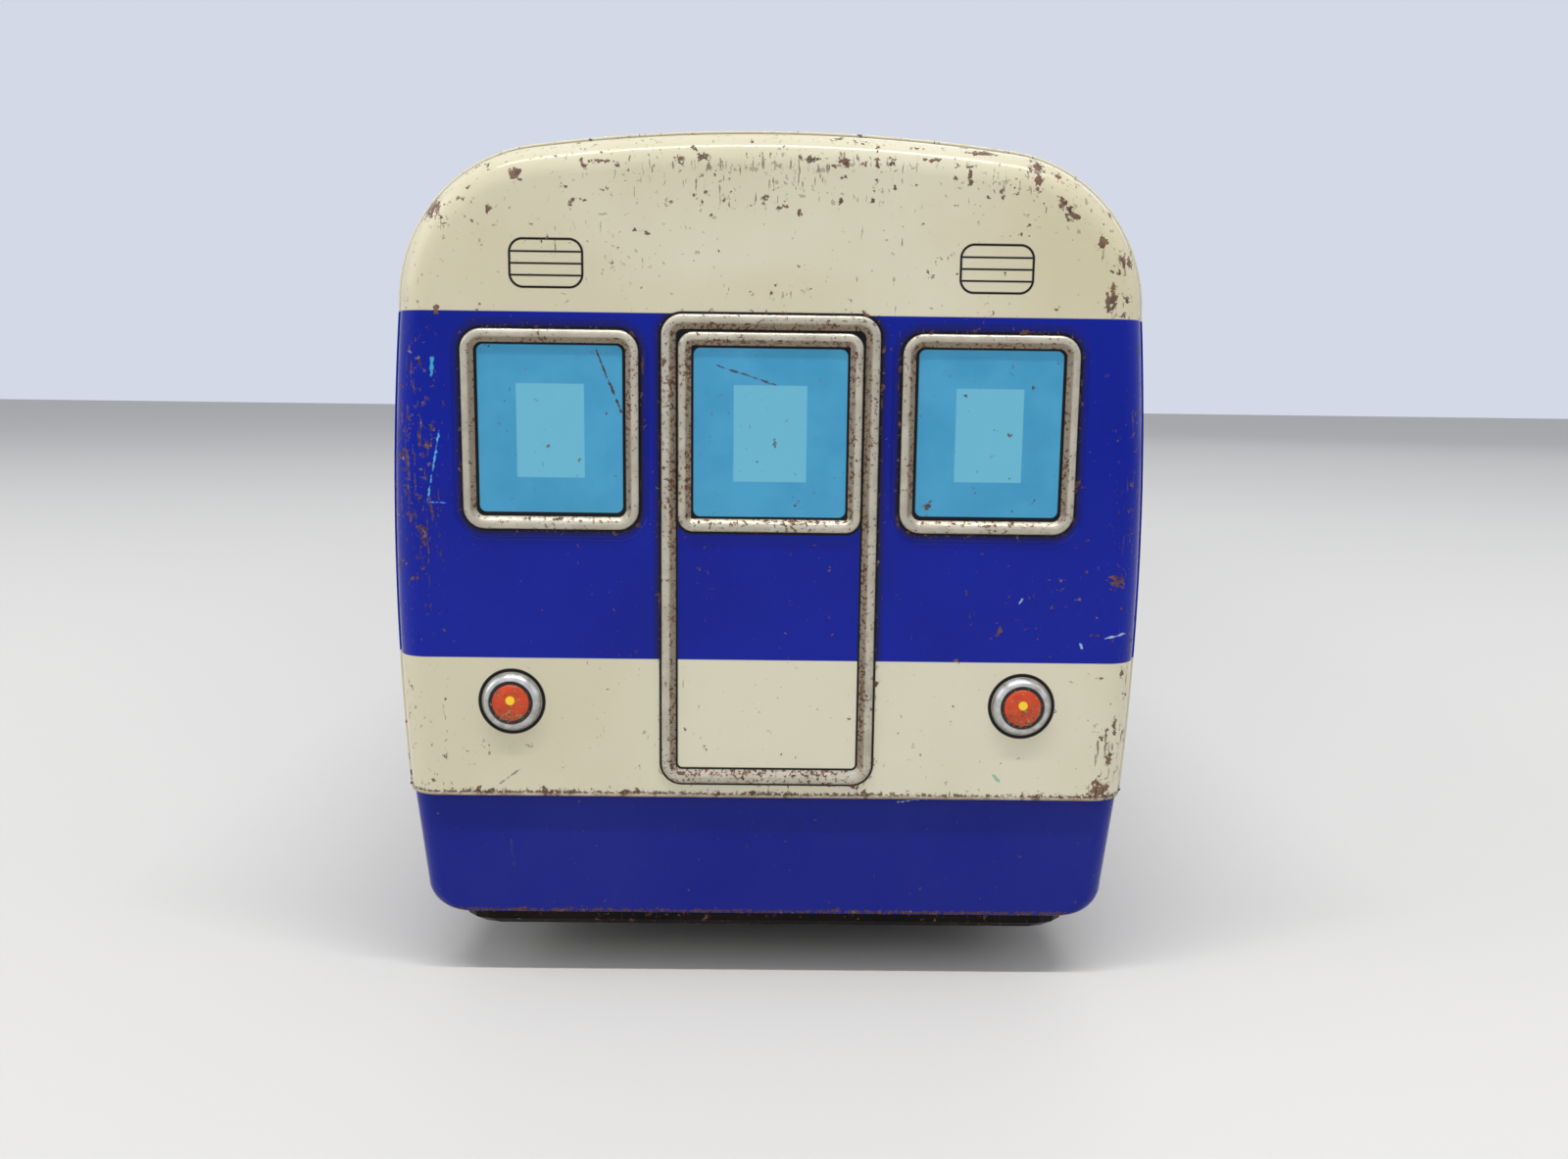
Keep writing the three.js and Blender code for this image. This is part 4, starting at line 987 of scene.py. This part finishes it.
def makeTailLamps():
    (edge, _), (_, top), lens = tailLamp["ring"][0], tailLamp["ring"][-1], lampPrint["lensRadius"]
    foot, groove, rim = -tailLamp["sunk"], top - tailLamp["groove"], top - tailLamp["lensSunk"]
    profile = [(edge, foot), *tailLamp["ring"], (tailLamp["grooveFrom"], groove)]
    profile += [(lens + 0.08, groove), (lens, rim)]
    for turn in np.linspace(0, math.pi / 2, 9)[1:]:
        profile.append((lens * math.cos(turn), rim + tailLamp["lensRise"] * math.sin(turn)))
    profile += [(0, foot), (edge, foot)]
    for name, side in (("right", 1), ("left", -1)):
        middle = (side * rearPrint["lampOut"], rearFace, rearPrint["lampHeight"])
        makePiece("tail_lamp_" + name, [turnedGrid(profile, middle, (0, -1, 0))], [lampTin], "chrome_trim")


# Body sheet: sides and roof in one bend
def makeBodySheet():
    rows = [sectionAt(y) for y in np.linspace(sideRear, sideFront, 24)]
    makePiece("body_sheet", [(np.array(rows), False)], [sideTin, bareTin], "cream_enamel", ["body_shell"],
              inside=(0, rowMiddle, 60), wall=body["sheet"], rim=0)
    ridges = []
    for side in (1, -1):
        for end in (-1, 1):
            for pane in (doorFrame, doorPane):
                place = onSide(side, rowMiddle + end * doorOut, pane["middle"])
                ridges.append(ridgeGrid(pane, place))
        for i in range(sidePrint["windows"]):
            along = rowMiddle + windowPitch * (i - (sidePrint["windows"] - 1) / 2)
            ridges.append(ridgeGrid(sidePane, onSide(side, along, sidePane["middle"])))
    makePiece("side_frames", ridges, [silver], "cream_enamel")


# Roof vents: pressed pads with rows of louvres
roofVent = {
    "count": 6,
    "half": (26, 23),
    "corner": 4,
    "rise": 1.75,
    "slope": 2.6,
    "louvres": 6,
    "louvreRise": 0.42,
    "louvreHalf": 8.6,
    "louvreOut": 11.5,
    "margin": 6,
    "apron": 0.6,  # the sheet's edge lies this far outside the pad, below the roof
    "step": 0.6,
}


def makeRoofVents():
    half, corner = roofVent["half"], roofVent["corner"]
    apron = roofVent["apron"]
    spans = [np.linspace(-h - apron, h + apron, int(2 * h / roofVent["step"])) for h in half]
    across, along = np.meshgrid(*spans)
    qx, qy = np.abs(across) - half[0] + corner, np.abs(along) - half[1] + corner
    inward = corner - np.hypot(np.maximum(qx, 0), np.maximum(qy, 0)) - np.minimum(np.maximum(qx, qy), 0)
    climb = np.clip(inward / roofVent["slope"], 0, 1)
    height = roofVent["rise"] * (3 * climb**2 - 2 * climb**3)
    height = np.where(inward < 0, -0.3, height)
    # two columns of louvres, each a short ramp that drops at its open edge
    louvred = half[1] - roofVent["margin"]
    pitch = 2 * louvred / roofVent["louvres"]
    phase = ((along + louvred) / pitch) % 1
    ramp = np.clip(phase / 0.7, 0, 1) * np.clip((1 - phase) / 0.12, 0, 1)
    fromColumn = np.abs(np.abs(across) - roofVent["louvreOut"])
    inColumn = np.clip((roofVent["louvreHalf"] - fromColumn) / 0.8, 0, 1)
    inRows = np.clip((louvred - np.abs(along)) / 0.3, 0, 1)
    height += roofVent["louvreRise"] * ramp * inColumn * inRows
    grids = []
    spacing = 2 * rowHalf / roofVent["count"]
    for i in range(roofVent["count"]):
        lean = np.arcsin(across / crownRadius)
        reach = crownRadius + height
        places = [reach * np.sin(lean), sideRear + spacing * (i + 0.5) + along,
                  body["roofHeight"] - crownRadius + reach * np.cos(lean)]
        grids.append((np.stack(places, -1), False))
    makePiece("roof_vents", grids, [sideTin], "cream_enamel", inside=(0, rowMiddle, 60), crease=60)


# Nose: every level of the section runs forward in a filled-out quarter round
nose = {
    "length": 105,
    "tipHeight": 60,
    "chinSetback": 9,
    "slopeShare": 1.7,
    "roundShare": 0.8,
    "planShare": 0.8,
    "steps": 48,
}


def noseReach(z, inset=0):
    reach = nose["length"] - inset
    drop = np.clip((nose["tipHeight"] - z) / (nose["tipHeight"] - lipHeight), 0, None)
    climb = np.clip((z - nose["tipHeight"]) / (body["roofHeight"] - inset - nose["tipHeight"]), 0, 1)
    upper = reach * (1 - climb ** nose["slopeShare"]) ** nose["roundShare"]
    return np.where(z < nose["tipHeight"], reach - nose["chinSetback"] * drop**2, upper)


noseTurns = np.linspace(0, 1, nose["steps"] + 1)
noseTurns = math.pi / 2 * (noseTurns - 0.7 * np.sin(2 * math.pi * noseTurns) / (2 * math.pi))
narrowing = np.append(np.cos(noseTurns[:-1]) ** nose["planShare"], 0)
forwarding = np.sin(noseTurns) ** nose["planShare"]


def noseFront(x, z):
    turn = np.arccos(np.clip(np.abs(x) / sectionHalf(z), 0, 1) ** (1 / nose["planShare"]))
    return noseRoot + noseReach(z) * np.sin(turn) ** nose["planShare"]


def onNose(across, up):
    def place(u, v, height):
        x, z, step = u + across, v + up, 0.2
        slopeX = (noseFront(x + step, z) - noseFront(x - step, z)) / (2 * step)
        slopeZ = (noseFront(x, z + step) - noseFront(x, z - step)) / (2 * step)
        normal = np.stack([-slopeX, np.ones(len(x)), -slopeZ], 1)
        normal /= np.linalg.norm(normal, axis=1, keepdims=True)
        return np.stack([x, noseFront(x, z), z], 1) + normal * height

    return place


# Round cover over the coupler opening of the nose
coupler = {"radius": 16, "rise": 1.1, "back": 0.32, "edge": [(0.8, 1.04), (0.3, 0.8), (0, 0.75)]}


def makeNose():
    steps = (30, 24, 16)
    section, inner = bodySection(0, *steps), bodySection(joggle, *steps)
    x, z = section[:, 0], section[:, 1]
    ys = (noseRoot - body["flange"], noseRoot)
    rows = [np.stack([inner[:, 0], np.full(len(x), y), inner[:, 1]], 1) for y in ys]
    for narrow, forward in zip(narrowing, forwarding):
        rows.append(np.stack([x * narrow, noseRoot + noseReach(z) * forward, z], 1))
    makePiece("nose_sheet", [(np.array(rows), False)], [noseTin, bareTin], "cream_enamel", ["nose_shell"],
              inside=(0, noseRoot, 60), wall=body["sheet"])
    screens = []
    for side in (1, -1):
        place = onNose(side * nosePrint["screenOut"], screenPane["middle"])
        screens.append(ridgeGrid(screenPane, place, perEdge=24))
    makePiece("windscreen_frames", screens, [silver], "cream_enamel")
    radius, back = coupler["radius"], coupler["back"]
    profile = [(r, coupler["rise"]) for r in np.linspace(0, radius - 1.2, 8)]
    profile += [(radius - inset, height) for inset, height in coupler["edge"]]
    profile += [(r, back) for r in np.linspace(radius, 0, 6)]
    turn, place = np.linspace(0, 2 * math.pi, 96, endpoint=False), onNose(0, nose["tipHeight"])
    rows = [place(r * np.cos(turn), r * np.sin(turn), height) for r, height in profile]
    makePiece("nose_cover", [(np.array(rows), True)], [coverTin], "cream_enamel", ["coupler_cover"])


# Headlights: a rolled bezel, a domed lens and a reflector dish behind it
headlight = {"out": 30, "height": 47, "turn": 28, "radius": 8, "wall": 1.4, "reach": 5.5, "bulge": 2.4,
             "depth": 6}


def makeHeadlights():
    radius, reach, back = headlight["radius"], headlight["reach"], -headlight["depth"]
    bore = radius - headlight["wall"]
    lean = math.radians(headlight["turn"])
    lip = headlight["wall"] / 2
    ring = [(bore, back), (radius, back), (radius, reach - lip)]
    ring += roundedCorner((radius - lip, reach - lip), lip, 0, 180)[1:]
    ring.append((bore, back))
    lensRadius = bore - body["seam"]
    base = reach - headlight["bulge"] - 0.1
    dome = [(0, base - 1.0), (lensRadius, base - 1.0), (lensRadius, base)]
    dome += [(lensRadius * math.cos(t), base + headlight["bulge"] * math.sin(t))
             for t in np.linspace(0, math.pi / 2, 14)[1:]]
    dish = [(0.0, 0.3), *[(lensRadius * s, 0.3 + (base - 1.5) * s**2) for s in np.linspace(0, 1, 12)[1:]]]
    dish += [(lensRadius, base - 1.4), (lensRadius, 0.1), (0, 0.1)]
    for name, side in (("right", 1), ("left", -1)):
        out = side * headlight["out"]
        front = float(noseFront(np.array([out]), np.array([headlight["height"]]))[0])
        middle, axis = (out, front, headlight["height"]), (side * math.sin(lean), math.cos(lean), 0)
        for piece, profile, finish, slot, nodes in (
            ("ring", ring, finishes["plated"], "chrome_trim", ["headlight_bezel_" + name]),
            ("glass", dome, lensClear, "lamp_lens", ["headlight_lens_" + name]),
            ("reflector", dish, finishes["reflector"], "chrome_trim", []),
        ):
            makePiece(f"headlight_{piece}_{name}", [turnedGrid(profile, middle, axis)], [finish], slot, nodes)


# Lip: a narrow rolled bead along the lower edge of every upper sheet
lipBead = {"out": 0.22, "half": 0.22}


def beadGrid(path, outward):
    turn = np.linspace(0, 2 * math.pi, 12, endpoint=False)
    rows = []
    for (x, y), (nx, ny) in zip(path, outward):
        bulge = lipBead["out"] * np.cos(turn)
        up = lipHeight + lipBead["half"] * (1 + np.sin(turn))
        rows.append(np.stack([x + nx * bulge, y + ny * bulge, up], 1))
    closed = [np.repeat(rows[0].mean(0)[None], 12, 0), *rows, np.repeat(rows[-1].mean(0)[None], 12, 0)]
    return np.array(closed), True


def withNormals(path):
    run = np.gradient(path, axis=0)
    normal = np.stack([run[:, 1], -run[:, 0]], 1)
    return path, normal / np.linalg.norm(normal, axis=1, keepdims=True)


def makeLipBeads():
    half, radius = float(sideHalf(lipHeight)), body["rearRadius"]
    out = half - joggle - radius
    corner = roundedCorner((out, rearFace + radius), radius, 0, -90, 8)
    flat = [(s * corner[-1][0], rearFace) for s in np.linspace(1, -1, 30)[1:-1]]
    rear = np.array([*corner, *flat, *[(-x, y) for x, y in corner[::-1]]])
    rear, outward = withNormals(rear)
    makePiece("rear_lip", [beadGrid(rear, -outward)], [lipTin], "cream_enamel")
    sides = []
    for side in (1, -1):
        path = np.array([(side * half, y) for y in np.linspace(sideRear, sideFront, 30)])
        sides.append(beadGrid(path, np.tile([side, 0], (30, 1))))
    makePiece("side_lips", sides, [lipTin], "cream_enamel")
    reach = float(noseReach(np.array([lipHeight]))[0])
    right = np.stack([half * narrowing, noseRoot + reach * forwarding], 1)
    path, outward = withNormals(np.concatenate([right, right[-2::-1] * (-1, 1)]))
    makePiece("nose_lip", [beadGrid(path, outward)], [lipTin], "cream_enamel")


# Skirt: plan outlines stacked from its tuck behind the lip down to its ledge
skirt = {
    "recess": 1.2,
    "shoulder": 0.65,
    "taper": 1.7,
    "corner": 4.5,
    "cornerRise": 4.3,
    "tuck": 5,
    "ledge": 7.5,
    "tabs": 6,
    "tabHalf": 2.5,
    "tabInset": 3.8,
    "panCorner": 4.5,
    "rearEdge": 0.55,
}
skirtRear = rearFace + skirt["recess"]
tuckInset = 2 * (body["sheet"] + body["seam"])
skirtHalf = float(sideHalf(lipHeight)) - tuckInset
skirtReach = float(noseReach(np.array([lipHeight]))[0]) - tuckInset
shoulderHalf = skirtHalf + skirt["shoulder"]
flatHalf = shoulderHalf - skirt["taper"] - skirt["corner"]


def planOutline(half, rear, corner, z):
    reach = skirtReach - skirtHalf + half
    right = [(half * n, noseRoot + reach * f) for n, f in zip(narrowing[::-1], forwarding[::-1])]
    for turn in np.linspace(0, math.pi / 2, 10):
        right.append((half - corner + corner * math.cos(turn), rear + corner - corner * math.sin(turn)))
    right += [((half - corner) * s, rear) for s in np.linspace(1, 0, 14)[1:]]
    right = np.array(right)
    loop = np.concatenate([right, right[-2:0:-1] * (-1, 1)])
    return np.column_stack([loop, np.full(len(loop), z)])


def makeSkirt():
    edge = body["rearRadius"] - skirt["recess"]
    below = lipHeight - body["seam"]
    rows = [planOutline(skirtHalf, skirtRear, edge, z) for z in (lipHeight + skirt["tuck"], below)]
    rows.append(planOutline(shoulderHalf - 0.2, skirtRear, edge, below))
    rows.append(planOutline(shoulderHalf - 0.05, skirtRear, edge, below - 0.08))
    for share in np.linspace(0.02, 1, 7)[:-1]:
        z = below + (skirtFloor + skirt["cornerRise"] - below) * share
        rows.append(planOutline(shoulderHalf - skirt["taper"] * share, skirtRear, edge, z))
    for turn in np.linspace(0, math.pi / 2, 15):
        half = flatHalf + skirt["corner"] * math.cos(turn)
        z = skirtFloor + skirt["cornerRise"] * (1 - math.sin(turn))
        low = max(0, 1 - (z - skirtFloor) / skirt["rearEdge"])
        shift = skirt["rearEdge"] * (1 - math.sqrt(1 - low**2))
        rows.append(planOutline(half, skirtRear + shift, edge, z))
    for share in (0.05, 0.5, 1):
        inset = skirt["ledge"] * share
        corner = edge + (skirt["panCorner"] - edge) * share
        rear = skirtRear + skirt["rearEdge"] + (skirt["corner"] + inset - skirt["rearEdge"]) * share
        rows.append(planOutline(flatHalf - inset, rear, corner, skirtFloor))
    makePiece("skirt_pressing", [(np.array(rows), True)], [skirtBlue, bareTin], "blue_enamel", ["skirt"],
              inside=(0, rowMiddle, 30), wall=body["sheet"])
    # tabs folded under the base pan
    out = flatHalf - skirt["tabInset"] - 2 * body["seam"] - 0.2
    foldTop = solidBox("base_pan")[0][2] - body["seam"]
    path = [(out, skirtFloor + 0.1), (out, foldTop + 0.5)]
    path += roundedCorner((out - 0.5, foldTop + 0.3), 0.5, 0, -90, 5)[1:]
    path += [(out - 2, foldTop - 0.2), (out - 3.3, foldTop - 0.2), (out - 3.8, foldTop - 0.2)]
    widths = [1] * (len(path) - 2) + [0.97, 0.72]
    span = noseRoot - skirtRear - 2 * skirt["panCorner"]
    grids = []
    for i in range(skirt["tabs"]):
        middle = skirtRear + skirt["panCorner"] + span * (i + 0.5) / skirt["tabs"]
        for side in (1, -1):
            rows = [[(side * x, middle + skirt["tabHalf"] * wide * s, z) for s in (-1, 0, 1)]
                    for (x, z), wide in zip(path, widths)]
            grids.append((np.array(rows), False))
    thin = body["sheet"] - 0.02
    makePiece("skirt_tabs", grids, [skirtBlue, bareTin], "blue_enamel", wall=thin, wallShift=0)


# Wheels and tyres
wheel = {
    "rimWall": 1.2,
    "web": 1.0,
    "webOut": 1.4,
    "ripple": [(6.5, 0), (7.2, -0.5), (10, -0.5), (10.7, 0)],  # in the web: (radius, along the axle)
    "boss": 3.5,
    "bossInner": 8,
    "bossOuter": 3,
    "bore": 1.6,
}


def tyreProfile(seat, tread, half):
    wall = [(seat + 1.1, half - 0.25), (seat + 1.6, half - 0.25), (seat + 2.0, half), (tread - 1.5, half)]
    wall += roundedCorner((tread - 1.1, half - 1.1), 1.1, 90, 0)
    groove = [(tread, -0.5), (tread - 0.35, -0.3), (tread - 0.35, 0.3), (tread, 0.5)]
    inner = [(seat, -half), (seat + 0.5, -half), *[(radius, -along) for radius, along in wall]]
    return [*inner, *groove, *wall[::-1], (seat + 0.5, half), (seat, half), (seat, -half)]


def wheelProfile(rim, half):
    boss, bore, inner = wheel["boss"], wheel["bore"], rim - wheel["rimWall"]
    near, far = -wheel["bossInner"], wheel["bossOuter"]
    back, front = [wheel["webOut"] + side * wheel["web"] / 2 for side in (-1, 1)]
    profile = [(bore, near), (boss, near), (boss, back - 0.6), (boss + 0.6, back)]
    profile += [(radius, back + along) for radius, along in wheel["ripple"]]
    profile += [(inner - 0.5, back), (inner, back - 0.5), (inner, -half), (rim, -half), (rim, half)]
    profile += [(inner, half), (inner, front + 0.5), (inner - 0.5, front)]
    profile += [(radius, front + along) for radius, along in wheel["ripple"][::-1]]
    profile += [(boss + 0.6, front), (boss, front + 0.5), (boss, far - 0.3)]
    return profile + [(boss - 0.3, far), (bore, far), (bore, near)]


def makeWheels():
    for place, axle in (("rear", "driven_axle"), ("front", "leading_axle")):
        for name, side in (("right", 1), ("left", -1)):
            low, high = solidBox(f"tyre_{place}_{name}")
            half, _, tread = (high - low) / 2
            rimLow, rimHigh = solidBox(f"wheel_{place}_{name}")
            rim = (rimHigh[2] - rimLow[2]) / 2
            for piece, profile, finish, slot, node in (
                ("rubber_tyre", tyreProfile(rim + 0.1, tread, half), "rubber", "tyre_rubber", "tyre"),
                ("pressed_wheel", wheelProfile(rim, half), "plate", "steel", "wheel"),
            ):
                makePiece(f"{piece}_{place}_{name}", [turnedGrid(profile, (low + high) / 2, (side, 0, 0))],
                          [finishes[finish]], slot, [f"{node}_{place}_{name}"], body=axle)


makeRearEnd()
makeTailLamps()
print("rear end made")
makeBodySheet()
makeRoofVents()
print("sides and roof made")
makeNose()
makeHeadlights()
makeLipBeads()
print("nose made")
makeSkirt()
makeWheels()
print("skirt and wheels made")

# The rest of the solids keep their shape and get a finish
kept = {"base_pan": panBlack, "flywheel": finishes["zinc"]}
for finish, nodes in {
    "plate": ("motor_plate_right", "motor_plate_left", "front_bracket"),
    "brass": ("drive_gear", "first_gear", "second_gear", "axle_spacer_right", "axle_spacer_left"),
}.items():
    kept.update({node: finishes[finish] for node in nodes})
for node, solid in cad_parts.items():
    if not solid.hide_render:
        solid.data.materials.clear()
        solid.data.materials.append(kept.get(node, finishes["steel"]))
print("finishes given to the motor, the axles and the base pan")

# Floor, light and camera
studio = {
    "floor": "#CDCBC7",
    "backdrop": "#D3D9E7",
    "fill": 0.6,
    "fillColour": "#EDF0F6",
    "aim": (0, -0.15, 0.06),
    "lamps": [
        ("ceiling tube", 17.5, (1.5, 0.045), (0.0, -0.62, 1.45)),
        ("left softbox", 9.3, (1.2, 1.2), (-1.7, -0.5, 0.9)),
        ("right softbox", 3.5, (1.2, 1.2), (1.7, -0.5, 0.9)),
        ("front softbox", 4.6, (1.6, 1.2), (-0.3, -1.9, 1.0)),
        ("nose softbox", 4.0, (1.6, 1.2), (0.9, 1.7, 1.3)),
    ],
}


def makeStudio():
    mesh = bpy.data.meshes.new("floor")
    mesh.from_pydata([(-6, -6, 0), (6, -6, 0), (6, 6, 0), (-6, 6, 0)], [], [(0, 1, 2, 3)])
    floor = bpy.data.objects.new("floor", mesh)
    bpy.context.scene.collection.objects.link(floor)
    mesh.materials.append(startMaterial("pale floor", Base_Color=linear(studio["floor"]), Roughness=0.6)[0])
    world = bpy.data.worlds.new("studio")
    bpy.context.scene.world = world
    world.use_nodes = True
    tree = world.node_tree
    tree.nodes.clear()
    add = partial(addNode, tree)
    path = add("LightPath").node.outputs
    seen = add("Math ADD", path["Is Camera Ray"], path["Is Glossy Ray"])
    seen = add("Math ADD", seen, path["Is Transmission Ray"], use_clamp=True)
    light = add("Background", studio["fillColour"], studio["fill"])
    backdrop = add("Background", studio["backdrop"], 1.0)
    output = tree.nodes.new("ShaderNodeOutputWorld")
    tree.links.new(add("MixShader", seen, light, backdrop), output.inputs["Surface"])
    for name, energy, size, spot in studio["lamps"]:
        lamp = bpy.data.lights.new(name, "AREA")
        lamp.shape = "RECTANGLE"
        lamp.energy, lamp.size, lamp.size_y = energy, *size
        holder = bpy.data.objects.new(name, lamp)
        bpy.context.scene.collection.objects.link(holder)
        holder.location = spot
        holder.rotation_euler = (Vector(studio["aim"]) - Vector(spot)).to_track_quat("-Z", "Y").to_euler()


photoView = {"spot": (0.47, -470.15, 90.52), "turn": 0.574, "tilt": -8.6, "roll": 0.733, "lens": 28.59}


def makeCamera():
    camera = bpy.data.objects.new("camera", bpy.data.cameras.new("camera"))
    bpy.context.scene.collection.objects.link(camera)
    bpy.context.scene.camera = camera
    camera.data.sensor_width, camera.data.lens = 36, photoView["lens"]
    camera.data.clip_start = 0.01
    camera.location = Vector(photoView["spot"]) * mm
    turn, tilt = math.radians(photoView["turn"]), math.radians(photoView["tilt"])
    ahead = Vector((math.sin(turn) * math.cos(tilt), math.cos(turn) * math.cos(tilt), math.sin(tilt)))
    aim = ahead.to_track_quat("-Z", "Y") @ Quaternion((0, 0, 1), math.radians(photoView["roll"]))
    camera.rotation_euler = aim.to_euler()


makeStudio()
makeCamera()
bpy.context.scene.view_settings.view_transform = "Standard"
print("studio and camera ready")
